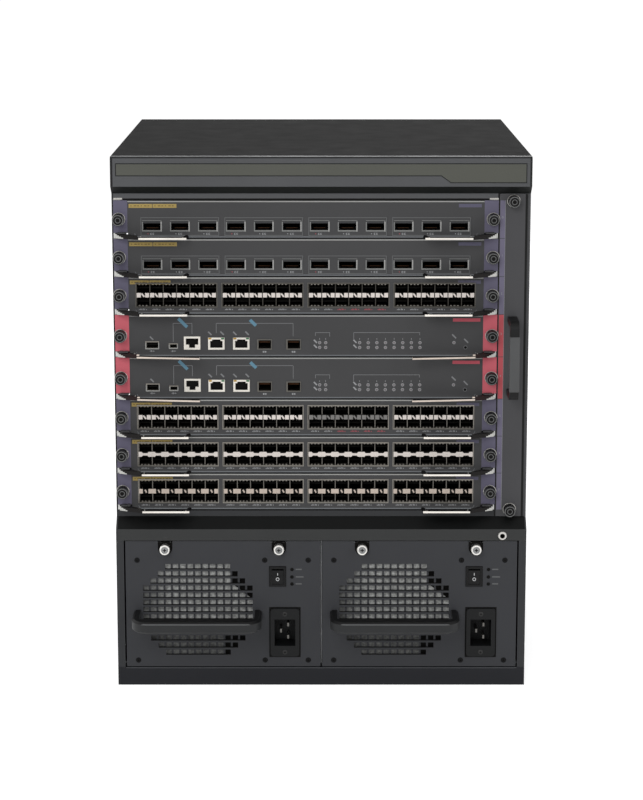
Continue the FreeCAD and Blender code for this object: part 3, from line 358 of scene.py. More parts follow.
def handle_finish(name, front, top, zones=()):
    """Moulded handle: the faces turned up are darker, a painted shade; paler edges, partly wear and
    partly painted highlight; and painted zones.
    """
    material, tree, shader = start_finish(name, specular=0.2)
    # Faces turned up take the darker colour: painted shade on the top of the handle.
    top_shade_mask = math_node(tree, "GREATER_THAN", axes(tree, in_place(tree, "Normal"))["Z"], 0.5)
    paint, _ = zoned(tree, colour_mix(tree, top_shade_mask, srgb(*front), srgb(*top)), zones)
    skin = effect(tree, POWDER_COAT, Paint=paint, Cloud=0.04, Rubbed=0.28, Dullness=0.5)
    lay(tree, shader, skin, 0.04)
    return material


def filter_finish(name, colour, left, foot):
    """Pale mottled sheet seen through the grille, with painted shade: darker towards its left end and
    below the grip.
    """
    material, tree, shader = start_finish(name, specular=0.1)
    coat = effect(tree, POWDER_COAT, Paint=srgb(*colour), Cloud=0.1, Rubbed=0.0, Dullness=0.7)
    where = in_place(tree)
    mottle_and_shade = spread(tree, noise(tree, where, 430.0), 0.55, 1.3)
    # Ramps darken the sheet towards its left end and below the grip: painted shade.
    for at, start, end, least in (("X", left, left + 34, 0.16), ("Z", foot, foot + 7, 0.4)):
        shade_ramp = spread(tree, axes(tree, where)[at], least, 1.0, start * MM, end * MM)
        mottle_and_shade = math_node(tree, "MULTIPLY", mottle_and_shade, shade_ramp)
    lay(tree, shader, coat, 0.05, shade(tree, coat.outputs["Color"], mottle_and_shade))
    return material


# Corners that the painted zones are measured from.
fascia_low, fascia_high = corners("top_fascia")
band_low = corners("mid_fascia")[0]
stack_low, stack_high = corners("card_8_faceplate")[0], corners("card_1_faceplate")[1]
cage_y = corners("card_cage")[0].y
handle_low, handle_high = corners("psu_1_handle")
flange_y, grip_y = cage_y + 1.3, handle_low.y + 1.5

ENCLOSURE = painted("enclosure_paint", (50, 51, 53), zones=[
    # Darker front of the plinth: painted shade, the light falling off towards the floor.
    ((-FAR, -212, -5), (FAR, -190, 20.4), (28, 29, 33)),
    ((-FAR, -199, 194), (-200, -190, 535), (30, 31, 32)),
    ((200, -199, 165), (FAR, -190, 535), (84, 84, 86)),
])
COVER = painted("cover_paint", (40, 40, 40), cloud=0.012, wear_and_glint=0.0, dull=0.85, specular=0.02)
REAR = painted("rear_paint", (56, 57, 59))
FASCIA = painted("fascia_paint", (79, 80, 82), cloud=0.08, wear_and_glint=0.04, zones=[
    ((-FAR, -FAR, 500), (FAR, FAR, fascia_high.z - 31.3), (22, 24, 23)),
    ((-FAR, -FAR, fascia_high.z - 1.6), (FAR, FAR, 600), (34, 35, 36)),
    ((-FAR, -FAR, 500), (fascia_low.x + 2.6, FAR, 600), (22, 23, 24)),
    ((fascia_high.x - 2.2, -FAR, 500), (FAR, FAR, 600), (24, 25, 26)),
])
BAND = painted("band_paint", (55, 56, 56), specular=0.14, zones=[
    ((-FAR, -209.95, band_low.z + 12.4), (FAR, FAR, 600), (3, 4, 4)),
])
FACEPLATE = painted("faceplate_paint", (64, 64, 65), cloud=0.06)
TRAY_PAINT = painted("fan_tray_paint", (70, 70, 72), cloud=0.06, zones=[
    # Black band along the panel's right edge: painted shadow of the joint beside it.
    ((214.3, -FAR, 100), (FAR, FAR, TALL), (5, 5, 5)),
])
SUPPLY = painted("supply_paint", (55, 56, 59), wear_and_glint=0.2, zones=[
    ((low.x + ROCKER_X - 8.8, -FAR, low.z + ROCKER_Z - 11),
     (low.x + ROCKER_X + 8.8, -195, low.z + ROCKER_Z + 11), (12, 12, 13))
    for low, _ in (corners("psu_1_front"), corners("psu_2_front"))
])
INLAY = painted("inlay_paint", (82, 83, 77), cloud=0.02, wear_and_glint=0.1, dull=0.6)
PURPLE = film("end_zone_purple", (94, 91, 109))
RED = film("end_zone_red", (194, 95, 106))
STRIP_PURPLE = film("tray_strip_purple", (106, 102, 121))
STRIP_RED = film("tray_strip_red", (176, 80, 87))
PURPLE_LABEL = film("label_purple", (88, 86, 104))
RED_LABEL = film("label_red", (184, 84, 96))
YELLOW_LABEL = painted("label_yellow", (160, 139, 82), cloud=0.08, wear_and_glint=0.1)
BLUE_TAG = painted("tag_blue", (94, 132, 152), cloud=0.06, wear_and_glint=0.1)
LABEL_PRINT = film("label_print", (112, 96, 58), 0.0)
PRINT_GREY = film("print_grey", (146, 147, 149), 0.0)
PRINT_FAINT = film("print_faint", (96, 97, 98), 0.0)
PRINT_DIM = film("print_dim", (122, 123, 125), 0.0)
PRINT_PALE = film("print_pale", (196, 197, 198), 0.0)
PRINT_RED = film("print_red", (160, 78, 86), 0.0)
# Grey and pale edge strips are painted highlights on folded edges.
GREY_EDGE_HIGHLIGHT = painted("grey_edge_highlight", (104, 107, 110), wear_and_glint=0.2, dull=0.4)
PALE_EDGE_HIGHLIGHT = painted("pale_edge_highlight", (150, 150, 148), wear_and_glint=0.1, dull=0.4)
EDGE_DARK = painted("card_edge_dark", (20, 21, 22), wear_and_glint=0.0)
ZINC = metal("zinc_sheet", (176, 178, 180), 0.42, (60, 60, 300))
CAGE = plated("cage_sheet", (186, 186, 184), 0.42, (60, 60, 300), [
    ((-FAR, -FAR, stack_high.z + 0.2), (FAR, flange_y, TALL), (82, 83, 85)),
    ((-FAR, -FAR, 100), (FAR, flange_y, stack_low.z - 0.3), (49, 50, 52)),
    # Black on the flange in the gap between the card ends and the fan tray: painted shade in that gap.
    ((185.7, -FAR, 100), (188.9, flange_y, TALL), (10, 10, 10)),
    ((216.6, -FAR, 100), (FAR, flange_y, TALL), (74, 75, 77)),
])
BRIGHT = metal("bright_metal", (196, 194, 190), 0.26)
THUMB_PLATE = metal("thumbscrew_plate", (226, 224, 220), 0.36)
LEVER_EDGE = metal("lever_edge", (222, 217, 210), 0.3)
STEEL = metal("brushed_steel", (168, 166, 162), 0.34)
NICKEL = metal("nickel_rim", (128, 124, 118), 0.38)
NICKEL_DIM = metal("nickel_shaded", (92, 90, 86), 0.45)
CONTACT = metal("contact_gold", (70, 48, 34), 0.5)
BLADE = metal("inlet_blade", (104, 102, 99), 0.4)
BRIDGE_WHITE = painted("bridge_white", (214, 206, 200), 0.06, 0.0, 0.4, specular=0.4)
BRIDGE_WARM = painted("bridge_warm", (192, 178, 166), 0.1, 0.0, 0.45, specular=0.4)
BRIDGE_DULL = painted("bridge_dull", (118, 116, 114), 0.15, 0.0, 0.5)
LIT_PORT_STEEL = painted("port_steel_highlight", (150, 150, 148), 0.08, 0.0, 0.4, specular=0.4)
PORT_TOP_SHADE = painted("port_top_shade", (50, 51, 52), cloud=0.08, wear_and_glint=0.1)
THUMB_FACE = painted("thumbscrew_face", (136, 137, 137), cloud=0.2, wear_and_glint=0.0, specular=0.3)
SCREW_RING = painted("screw_ring", (120, 121, 120), cloud=0.1, wear_and_glint=0.0, specular=0.3)
FLANGE_SCREW = painted("flange_screw", (46, 46, 46), cloud=0.1, wear_and_glint=0.0, specular=0.2)
SCREW_DARK = painted("panel_screw_black", (15, 15, 16), cloud=0.1, wear_and_glint=0.0, specular=0.1)
SUPPLY_HANDLE = handle_finish("supply_handle_black", (43, 44, 45), (11, 11, 12), [
    # Paler band just under the top front edge: a painted highlight.
    ((-FAR, -FAR, handle_high.z - 2.4), (FAR, grip_y, handle_high.z - 1.3), (86, 87, 88)),
    # Darker band along the foot of the front: painted shade.
    ((-FAR, -FAR, 0), (FAR, grip_y, handle_low.z + 1.6), (24, 24, 25)),
])
TRAY_HANDLE = handle_finish("tray_handle_black", (12, 12, 13), (9, 9, 9))
BLACK = plastic("black_plastic", (14, 15, 16), 0.5, 0.2)
ROCKER = plastic("rocker_black", (13, 13, 14), 0.5, 0.2)
GRIP = plastic("grip_grey", (67, 68, 69), 0.5)
KNOB = plastic("screw_black", (15, 15, 16), 0.5, 0.15)
CAVITY = plastic("port_dark", (10, 9, 8), 0.7, 0.1)
JACK_WHITE = plastic("jack_white", (226, 221, 212), 0.4)
FAN_FRAME = plastic("fan_frame_plastic", (34, 34, 35))
FAN_BLADE = plastic("fan_blade_plastic", (26, 26, 27), 0.35)
LED_AMBER = plastic("led_amber", (170, 132, 40), 0.25)
LED_GREEN = plastic("led_green", (50, 104, 66), 0.25)
LED_OFF = plastic("led_off", (112, 106, 108), 0.25)
BACKPLANE = card_metal_and_board("backplane_board", -10, TALL, (150, 150, 150))
CAPTIVE_SCREW = [KNOB, STEEL, CAVITY, SCREW_RING]


# ---- shaping --------------------------------------------------------

def stand(name, data):
    """A new object in the scene."""
    made = bpy.data.objects.new(name, data)
    bpy.context.scene.collection.objects.link(made)
    return made


def fit(name, shape, at, body, finishes):
    """Turns a shape, drawn in millimetres from the point at, into a piece fixed to one body."""
    bmesh.ops.translate(shape, vec=at, verts=shape.verts)
    bmesh.ops.scale(shape, vec=(MM, MM, MM), verts=shape.verts)
    bmesh.ops.recalc_face_normals(shape, faces=shape.faces)
    mesh = bpy.data.meshes.new(name)
    shape.to_mesh(mesh)
    shape.free()
    for finish in finishes:
        mesh.materials.append(finish)
    piece = stand(name, mesh)
    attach(piece, body)


def slab(shape, x0, x1, y0, y1, z0, z1, finish=0, edge=0.0):
    """A flat block between two corners, its edges broken by edge."""
    place = Matrix.Translation(((x0 + x1) / 2, (y0 + y1) / 2, (z0 + z1) / 2))
    size = Matrix.Diagonal((x1 - x0, y1 - y0, z1 - z0, 1))
    made = bmesh.ops.create_cube(shape, size=1.0, matrix=place @ size)["verts"]
    for face in {f for v in made for f in v.link_faces}:
        face.material_index = finish
    if edge:
        lines = {e for v in made for e in v.link_edges}
        bmesh.ops.bevel(shape, geom=list(lines), offset=edge, segments=2, profile=0.5,
                        affect="EDGES", material=-1)
    return made


def push(shape, faces, vec):
    """Thickens flat faces into a plate along a vector."""
    grown = bmesh.ops.extrude_face_region(shape, geom=faces)["geom"]
    bmesh.ops.translate(shape, vec=vec, verts=[g for g in grown if isinstance(g, bmesh.types.BMVert)])


def panel_ring(shape, x0, x1, z0, z1, wide, y0, y1, finish=0):
    """A rectangular frame of sheet, wide across its border, standing from y1 to y0."""
    made = bmesh.ops.create_grid(shape, x_segments=1, y_segments=1, size=0.5)["verts"]
    place = Matrix.Translation(((x0 + x1) / 2, y1, (z0 + z1) / 2))
    size = Matrix.Diagonal((x1 - x0, 1, z1 - z0, 1))
    bmesh.ops.transform(shape, matrix=place @ size @ Matrix.Rotation(QUARTER, 4, "X"), verts=made)
    middle = made[0].link_faces[0]
    border = bmesh.ops.inset_region(shape, faces=[middle], thickness=wide, use_boundary=True,
                                    use_even_offset=True)["faces"]
    bmesh.ops.delete(shape, geom=[middle], context="FACES")
    for face in border:
        face.material_index = finish
    push(shape, border, (0, y0 - y1, 0))


def turned(shape, profile, x, z, y=0.0, way="-y", steps=24, finish=0):
    """A turned part: profile is a list of (radius, height) along way, from its seat."""
    line = [shape.verts.new((r, 0, h)) for r, h in profile]
    edges = [shape.edges.new(pair) for pair in zip(line, line[1:])]
    bmesh.ops.spin(shape, geom=line + edges, cent=(0, 0, 0), axis=(0, 0, 1),
                   angle=math.tau, steps=steps, use_merge=True, use_duplicate=False)
    joined = set()
    walk = list(line)
    while walk:
        v = walk.pop()
        if v.is_valid and v not in joined:
            joined.add(v)
            walk += [e.other_vert(v) for e in v.link_edges]
    bmesh.ops.remove_doubles(shape, verts=list(joined), dist=1e-4)
    joined = [v for v in joined if v.is_valid]
    for face in {f for v in joined for f in v.link_faces}:
        face.material_index = finish
    turn = Matrix.Rotation({"-y": QUARTER, "+z": 0, "+y": -QUARTER}[way], 4, "X")
    bmesh.ops.transform(shape, matrix=Matrix.Translation((x, y, z)) @ turn, verts=joined)


def washer(inner, outer, low, high):
    """Profile of a flat ring, for turned()."""
    return [(inner, low), (outer, low), (outer, high), (inner, high), (inner, low)]


def tilted_slab(shape, x, z, long, wide, y0, y1, angle, finish=0):
    made = slab(shape, -long / 2, long / 2, y0, y1, -wide / 2, wide / 2, finish)
    turn = Matrix.Translation((x, 0, z)) @ Matrix.Rotation(math.radians(angle), 4, "Y")
    bmesh.ops.transform(shape, matrix=turn, verts=made)


# A dark cross standing at a screw head: painted shade for its crossed recess.
def recess_shade_cross(shape, x, z, long, wide, y0, y1, finish):
    for angle in (0, 90):
        tilted_slab(shape, x, z, long, wide, y0, y1, angle, finish)


def outline_sheet(shape, points, y0, y1, finish=0):
    """A flat sheet cut to an outline of (x, z) points, from y1 forward to y0."""
    face = shape.faces.new([shape.verts.new((x, y1, z)) for x, z in points])
    face.material_index = finish
    push(shape, [face], (0, y0 - y1, 0))


def swept_plate(shape, plan, side, z0, z1, finish=0):
    """A flat plate cut to a plan of (inwards, forwards) points from a lever pivot."""
    face = shape.faces.new([shape.verts.new((side * u, -v, z0)) for u, v in plan])
    face.material_index = finish
    push(shape, [face], (0, 0, z1 - z0))


def mark(name, text, size, at, body, finish):
    """A printed figure standing on a front face, centred on a point."""
    curve = bpy.data.curves.new(name, "FONT")
    curve.body = text
    curve.size = size
    curve.align_x = "CENTER"
    curve.align_y = "CENTER"
    curve.extrude = 0.04
    curve.resolution_u = 3
    drawn = stand(name + "_drawn", curve)
    bpy.context.view_layer.update()
    mesh = bpy.data.meshes.new_from_object(drawn)
    bpy.data.objects.remove(drawn)
    mesh.name = name
    mesh.transform(Matrix.Translation(at) @ Matrix.Rotation(QUARTER, 4, "X"))
    mesh.transform(Matrix.Scale(MM, 4))
    mesh.materials.append(finish)
    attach(stand(name, mesh), body)


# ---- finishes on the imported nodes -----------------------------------

def coat(name, finish):
    """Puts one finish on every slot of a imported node."""
    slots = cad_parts[name].data.materials
    if not len(slots):
        slots.append(finish)
    for k in range(len(slots)):
        slots[k] = finish


def coat_enclosure():
    for name, finish in (("chassis_shell", ENCLOSURE), ("top_cover", COVER), ("rear_panel", REAR),
                         ("card_cage", CAGE), ("psu_bay", ZINC), ("backplane", BACKPLANE),
                         ("top_fascia", FASCIA), ("mid_fascia", BAND), ("esd_jack", BRIGHT)):
        coat(name, finish)


def coat_cards():
    for n, kind in enumerate(CARD_KINDS, 1):
        low, high = corners(f"card_{n}_faceplate")
        floor = low.z - SEAM
        front = (64, 64, 65) if kind == "quad" else None
        cage = (66, 64, 60) if n == 3 else (102, 99, 94)
        coat(f"card_{n}_faceplate", FACEPLATE)
        coat(f"card_{n}_board",
             card_metal_and_board(f"card_{n}_board_finish", floor + 6.1, floor + 7.85, cage, front))
        if kind == "control":
            look = (192, 180, 170), (30, 15, 15)
            reach = 14.6, 81.4
        else:
            look = (222, 217, 210), (17, 14, 13)
            reach = 18.6, 68.2
        for side, name, pivot in ((-1, "left", low.x + LEVER_PIVOT), (1, "right", high.x - LEVER_PIVOT)):
            lever = f"card_{n}_lever_{name}"
            coat(lever, lever_finish(lever + "_finish", *look, pivot, side, *reach, floor))


def coat_fan_tray():
    for name, finish in (("fan_tray_panel", TRAY_PAINT), ("fan_tray_handle", TRAY_HANDLE),
                         ("fan_frames", FAN_FRAME)):
        coat(name, finish)
    for n in range(1, 5):
        coat(f"fan_rotor_{n}", FAN_BLADE)


def coat_supplies():
    for n in (1, 2):
        for part, finish in (("case", ZINC), ("front", SUPPLY), ("handle", SUPPLY_HANDLE),
                             ("rocker", ROCKER), ("inlet", BLACK), ("fan_rotor", FAN_BLADE)):
            coat(f"psu_{n}_{part}", finish)


# ---- enclosure fittings ---------------------------------------------

def inlay_strip():
    """Olive strip let into the top fascia, deeper at its right-hand end."""
    left, right, top = fascia_low.x + 5.6, fascia_high.x - 5.6, fascia_high.z - 6.9
    shallow, deep = top - 13.2, top - 20.4
    shape = bmesh.new()
    for inset, front, finish in ((0, 0.3, 1), (0.75, 0.12, 0)):
        outline_sheet(shape, [
            (left + inset, top - inset), (right - inset, top - inset), (right - inset, deep + inset),
            (135.1 + inset * 0.4, deep + inset), (125.1 + inset * 0.4, shallow + inset),
            (left + inset, shallow + inset),
        ], front, 0.62, finish)
    fit("fascia_inlay", shape, (0, fascia_low.y, 0), "chassis", [INLAY, EDGE_DARK])


def jack_collar():
    """Round nut of the wrist strap jack, round its open bore, with a black sleeve in the bore as painted
    shade.
    """
    low, high = corners("esd_jack")
    r, reach = (high.x - low.x) / 2, band_low.y - low.y
    shape = bmesh.new()
    turned(shape, [(r + 0.1, 0), (r + 0.7, 0), (r + 0.7, reach - 0.5), (r + 0.2, reach),
                   (r + 0.1, reach), (r + 0.1, 0)], 0, 0, reach, steps=28)
    # Black sleeve in the bore: painted shade in the hole.
    turned(shape, [(2.7, 0), (2.7, 0.04), (2.0, 0.04), (1.95, -6), (0, -6)], 0, 0, finish=1)
    fit("strap_jack_nut", shape, (low.x + r, low.y, (low.z + high.z) / 2), "chassis", [BRIGHT, CAVITY])


def plinth_highlight():
    """Pale strip along the top edge of the plinth: a painted highlight."""
    low, high = corners("chassis_shell")
    shape = bmesh.new()
    slab(shape, low.x + 8.4, high.x - 8.4, -0.02, 0.6, 18.9, 19.5, edge=0.15)
    fit("plinth_highlight", shape, (0, low.y, 0), "chassis", [GREY_EDGE_HIGHLIGHT])


def flange_edges():
    """Plated corner lugs, with dark strips over the joints above the highest card and below the lowest,
    painted shade in those gaps.
    """
    left, right = stack_low.x, stack_high.x
    above, below = stack_high.z + 0.35, stack_low.z - 0.35
    shape = bmesh.new()
    for x0, x1 in ((left + 0.2, left + 9.6), (right - 9.6, right - 0.2)):
        slab(shape, x0, x1, -0.5, -0.02, above, above + 1.95, 0, 0.1)
    # Dark strips: painted shade in the gaps above and below the cards.
    slab(shape, left + 9.8, right - 9.8, -0.2, -0.02, above, above + 1.35, 1)
    slab(shape, left + 0.5, right - 0.5, -0.2, -0.02, below - 0.95, below, 1)
    fit("flange_edges", shape, (0, cage_y, 0), "chassis", [STEEL, CAVITY])


def rear_screws():
    """Pan-head screws round the rear panel, standing in its recess."""
    low, high = corners("rear_panel")
    foot, top = low.z + 8, high.z - 8
    shape = bmesh.new()
    places = [(x, foot + k * (top - foot) / 4) for x in (low.x + 8, high.x - 8) for k in range(5)]
    places += [(x, z) for x in (-110, 0, 110) for z in (foot, top, low.z + 168)]
    for x, z in places:
        turned(shape, [(3.4, 0), (3.4, 0.4), (2.6, 0.95), (0, 1.1)], x, z, way="+y", steps=18)
        recess_shade_cross(shape, x, z, 3.0, 0.8, 1.0, 1.14, 1)
    fit("rear_screws", shape, (0, high.y, 0), "chassis", [STEEL, CAVITY])


# ---- card fittings --------------------------------------------------
# Shapes are drawn from the left end of a faceplate, its front face and the card's floor.

CARD_WIDE = stack_high.x - stack_low.x
# Bars round a quad port: left, right, forwards, bottom, top, finish, broken edge. The dark band across
# the top is painted shade under the port's top wall; the paler right-hand bar is a painted highlight.
QUAD_RIM = (
    (-10.3, 10.4, 0.5, 16.1, 18.9, 2, 0.1), (-10.2, 10.3, 0.55, 18.7, 19.2, 1, 0.0),
    (-10.3, -9.3, 0.6, 7.4, 17.6, 1, 0.1), (9.1, 10.5, 0.7, 7.4, 18.0, 0, 0.1),
    (-9.4, 9.2, 0.55, 7.4, 8.8, 1, 0.1),
)
# Back wall, tongue and contact row of a quad port: left, right, front, back, bottom, top, finish.
QUAD_HEART = (
    (-9.3, 9.3, 30, 31, 8.1, 17.0, 0), (-7.4, 7.4, 9, 30, 9.4, 10.6, 0),
    (-6.0, 6.0, 8.8, 9.0, 9.8, 10.4, 1),
)
# Print under a quad port, after its first square: left, right, bottom, top of each stroke.
QUAD_STROKES = ((-0.2, 0.3, 3.9, 5.9), (0.3, 1.4, 5.4, 5.9), (0.3, 1.4, 3.9, 4.4))
# Plates of a lever: plan from the pivot, bottom, top, finish. Then its pin: inwards, forwards, up.
CONTROL_LEVER = (
    ([(12, 1.5), (20, 0.5), (79, 6.0), (80, 12.6), (40, 8.6), (14, 4.0)], 1.3, 2.3, 0),
    ([(14, 6), (14, 8.3), (40, 11.55), (81.05, 15.5), (81.4, 14.0), (40, 9.2)], 2.75, 3.7, 0),
), (12.4, 5.2, 5.2)
PORT_LEVER = (
    ([(12, 1.5), (20, 0.5), (60, 0.5), (62, 9.4), (19.5, 9.4), (14, 5.2)], 1.3, 2.3, 0),
    ([(17, 10), (17, 12.5), (64.05, 12.5), (66, 8.6), (64, 8.6), (62.4, 10.2)], 3.0, 3.7, 0),
    ([(66.2, 6.0), (66.0, 9.6), (66.9, 9.2), (69.8, 2.0), (68.0, 1.4)], 0.95, 4.6, 0),
    ([(63.5, 11.6), (63.5, 12.6), (68.6, 12.1), (68.6, 11.3)], 0.95, 3.05, 2),
), (21.0, 11.2, 3.7)


def captive_knob(shape, x, z):
    """Sprung captive screw: thin washer on the plate, dark knob with two fine rings round its socket."""
    top = SCREW_REACH + 0.1
    turned(shape, [(6.2, 0), (7.1, 0), (7.1, 0.35), (6.8, 0.6), (6.2, 0.6), (6.2, 0)], x, z, steps=28,
           finish=1)
    turned(shape, washer(6.2, 6.5, 0.6, 0.7), x, z, finish=2)
    turned(shape, [(6.03, 1.6), (6.3, 1.9), (6.3, top - 1.0), (5.5, top + 0.2), (4.9, top + 0.2),
                   (4.9, top), (4.3, top), (4.3, top + 0.15), (2.9, top + 0.15), (2.9, top), (2.4, top),
                   (2.2, top - 0.08), (0, top - 0.08)], x, z)
    low, high = top + 0.02, top + 0.32
    for inner, outer in ((5.0, 5.5), (2.4, 2.8)):
        turned(shape, [(inner, low), (inner, high), (outer, high), (outer, low)], x, z, finish=3)
    turned(shape, [(1.3, top - 0.06), (1.3, top - 0.02), (0, top - 0.02)], x, z, steps=12, finish=2)


def fit_card(n, label, shape, finishes):
    low = corners(f"card_{n}_faceplate")[0]
    at = low.x, low.y + SCREW_REACH, low.z - SEAM
    fit(f"card_{n}_{label}", shape, at, f"card_{n}", finishes)


def card_screws(n, tall):
    shape = bmesh.new()
    for x in (5.6, CARD_WIDE - 5.6):
        captive_knob(shape, x, tall / 2)
    fit_card(n, "captive_knobs", shape, CAPTIVE_SCREW)


def card_ends(n, tall, finish):
    """Coloured end zones of a card, above the lever notches."""
    shape = bmesh.new()
    for x in (0, CARD_WIDE - NOTCH_WIDE):
        slab(shape, x + 0.1, x + NOTCH_WIDE - 0.1, -0.14, 0, SEAM + NOTCH_TOP + 0.1, tall - SEAM - 0.1,
             edge=0.05)
    fit_card(n, "end_zones", shape, [finish])


def card_edges(n, tall):
    """Pale strip along the rolled top edge of a faceplate and grey strips along the folded lip at its
    foot, turned up at both ends, are painted highlights; the dark strips beside them are painted shade
    in the seams.
    """
    shape = bmesh.new()
    for inset, front, z0, z1, finish, edge in (
            (15.2, -0.28, tall - 2.2, tall - 0.9, 0, 0.12),
            (15.2, -0.12, tall - 0.85, tall - 0.3, 1, 0.0),
            (24.2, -0.2, 1.0, 2.2, 2, 0.1), (15.2, -0.1, 0.3, 0.95, 1, 0.0)):
        slab(shape, inset, CARD_WIDE - inset, front, 0.1, z0, z1, finish, edge)
    for x, lean in ((23.2, 62), (CARD_WIDE - 23.2, -62)):
        tilted_slab(shape, x, 3.4, 4.0, 0.55, -0.16, 0.05, lean, 2)
    fit_card(n, "edges", shape, [PALE_EDGE_HIGHLIGHT, EDGE_DARK, GREY_EDGE_HIGHLIGHT])


def card_labels(n, kind, tall):
    """Yellow labels with rows of print at the left, and a tinted label at the right."""
    shape = bmesh.new()
    top = tall - SEAM - 3.8
    yellow = {"quad": ((16.4, 41.0), (41.6, 66.6)), "sfp": ((16.4, 36.6), (37.2, 59.4)), "control": ()}
    for x0, x1 in yellow[kind]:
        slab(shape, x0, x1, -0.1, 0, top - 4.2, top, 0, 0.04)
        for k in range(6):
            x = x0 + 1.8 + k * (x1 - x0 - 3) / 6
            slab(shape, x, x + (1.4, 2.6, 2.0)[k % 3], -0.13, -0.1, top - 2.6, top - 1.5, 2)
    inset, tint = (47, RED_LABEL) if kind == "control" else (42, PURPLE_LABEL)
    slab(shape, CARD_WIDE - inset, CARD_WIDE - 18, -0.1, 0, top - 3.6, top, 1, 0.04)
    fit_card(n, "labels", shape, [YELLOW_LABEL, tint, LABEL_PRINT])


def lever_plates(n, kind):
    """Thin dark plate filling each lever behind its bright edge and a dark plate along its upper edge,
    painted shade in the gap behind the bar and on its top, and a pin.
    """
    low, high = corners(f"card_{n}_faceplate")
    plates, (inwards, forwards, up) = CONTROL_LEVER if kind == "control" else PORT_LEVER
    for side, name, pivot in ((1, "left", low.x + LEVER_PIVOT), (-1, "right", high.x - LEVER_PIVOT)):
        shape = bmesh.new()
        for plan, bottom, top, finish in plates:
            swept_plate(shape, plan, side, bottom, top, finish)
        turned(shape, [(0.75, 0), (0.75, 0.7), (0.4, 1.0), (0, 1.0)], side * inwards, up, -forwards,
               "+z", steps=14, finish=1)
        fit(f"card_{n}_lever_plate_{name}", shape, (pivot, low.y + SCREW_REACH - 4.7, low.z - SEAM),
            f"card_{n}_lever_{name}", [SCREW_DARK, STEEL, LEVER_EDGE])


def quad_card(n):
    """Four groups of three quad ports: rims with a painted shade band across the top and a painted
    highlight on the right-hand bar, dark cavities with a contact row, and print.
    """
    rims, ink, inner = bmesh.new(), bmesh.new(), bmesh.new()
    for group in range(4):
        middle = QUAD_MIDDLE + group * QUAD_GROUP
        panel_ring(ink, middle - 41.2, middle + 41.2, 2.9, 22.4, 0.7, -0.2, -0.08, 2)
        for k in (-1, 0, 1):
            x = middle + k * QUAD_PITCH
            for x0, x1, out, z0, z1, finish, edge in QUAD_RIM:
                slab(rims, x + x0, x + x1, -out, -0.05, z0, z1, finish, edge)
            for x0, x1, y0, y1, z0, z1, finish in QUAD_HEART:
                slab(inner, x + x0, x + x1, y0, y1, z0, z1, finish)
            slab(ink, x - 4.6, x - 3.7, -0.18, -0.08, 4.5, 5.5, int(k == -1))
            for at in (x - 1.5, x + 0.9):
                for x0, x1, z0, z1 in QUAD_STROKES:
                    slab(ink, at + x0, at + x1, -0.18, -0.08, z0, z1)
    fit_card(n, "port_rims", rims, [LIT_PORT_STEEL, SCREW_RING, PORT_TOP_SHADE])
    fit_card(n, "port_print", ink, [PRINT_GREY, PRINT_RED, PRINT_FAINT])
    fit_card(n, "port_hearts", inner, [CAVITY, CONTACT])


def port_bridge(bars, look, c, half, z, pale):
    """Latch band between an upper and a lower port: pale pads round the latch windows."""
    if look == "hexagons":
        slab(bars, c - half, c + half, -0.85, MOUTH, z - 2.7, z + 2.7, pale, 0.08)
        for side in (-1, 1):
            outline_sheet(bars, [
                (c - 3.7, z + side * 2.75), (c + 3.7, z + side * 2.75),
                (c + 2.4, z + side * 1.3), (c - 2.4, z + side * 1.3),
            ][::side], -0.96, -0.8, 1)
        return
    slab(bars, c - half, c + half, -0.7, MOUTH, z - 2.55, z + 2.55, 1)
    if look == "pads":
        pads, tall = ((c - half + 0.5, c - 2.1), (c + 2.4, c + half - 0.5)), 2.4
        latch, lean = (c + 0.1, z, 4.6, 1.7), 52
    else:
        pads, tall = ((c - half, c - 3.0), (c + 3.0, c + half)), 2.55
        latch, lean = (c + 0.2, z, 3.6, 1.5), 62
    for x0, x1 in pads:
        slab(bars, x0, x1, -1.0, -0.68, z - tall, z + tall, pale, 0.12)
    tilted_slab(bars, *latch, -0.9, -0.68, lean, pale)


def sfp_card(n, bridge, look):
    """Four blocks of two rows of six ports: bridges between the rows, back walls and print."""
    z = SFP_BOTTOM + SFP_TALL / 2
    pitch = (SFP_WIDE - 0.8) / 6
    bars, inner, ink = bmesh.new(), bmesh.new(), bmesh.new()
    for block in range(4):
        x0 = SFP_LEFT + block * SFP_BLOCK
        panel_ring(bars, x0 - 0.6, x0 + 86.1, 7.6, 34.1, 0.6, -0.7, -0.05, 4 if n == 3 else 3)
        slab(inner, x0 + 0.9, x0 + 84.6, 42, 43, 9.1, 32.6)
        for k in range(6):
            c = x0 + 0.4 + (k + 0.5) * pitch
            port_bridge(bars, look, c, pitch / 2, z, 2 if n == 6 and block == 2 else 0)
            for side in (-1, 1):
                for dx in (-3.6, 0, 3.6):
                    slab(bars, c + dx - 0.8, c + dx + 0.8, 0.4, 5.0,
                         *sorted((z + side * 11.8, z + side * 10.9)), 3)
                tongue = z + side * 7.2
                slab(inner, c - pitch / 2 + 0.8, c + pitch / 2 - 0.8, 9, 40, tongue - 1.6, tongue + 0.2)
            red = n in (3, 6) and block == 2 and k > 1
            for dx, tall in ((-3.9, 0.9), (-2.6, 1.5), (-1.3, 1.2), (0.4, 1.6), (1.6, 1.3), (3.6, 1.0)):
                slab(ink, c + dx - 0.42, c + dx + 0.42, -0.1, 0, 4.8, 4.8 + tall, int(red))
    fit_card(n, "port_bridges", bars, [bridge, CAVITY, BRIDGE_DULL, NICKEL, NICKEL_DIM])
    fit_card(n, "port_hearts", inner, [CAVITY])
    fit_card(n, "port_print", ink, [PRINT_GREY, PRINT_RED])


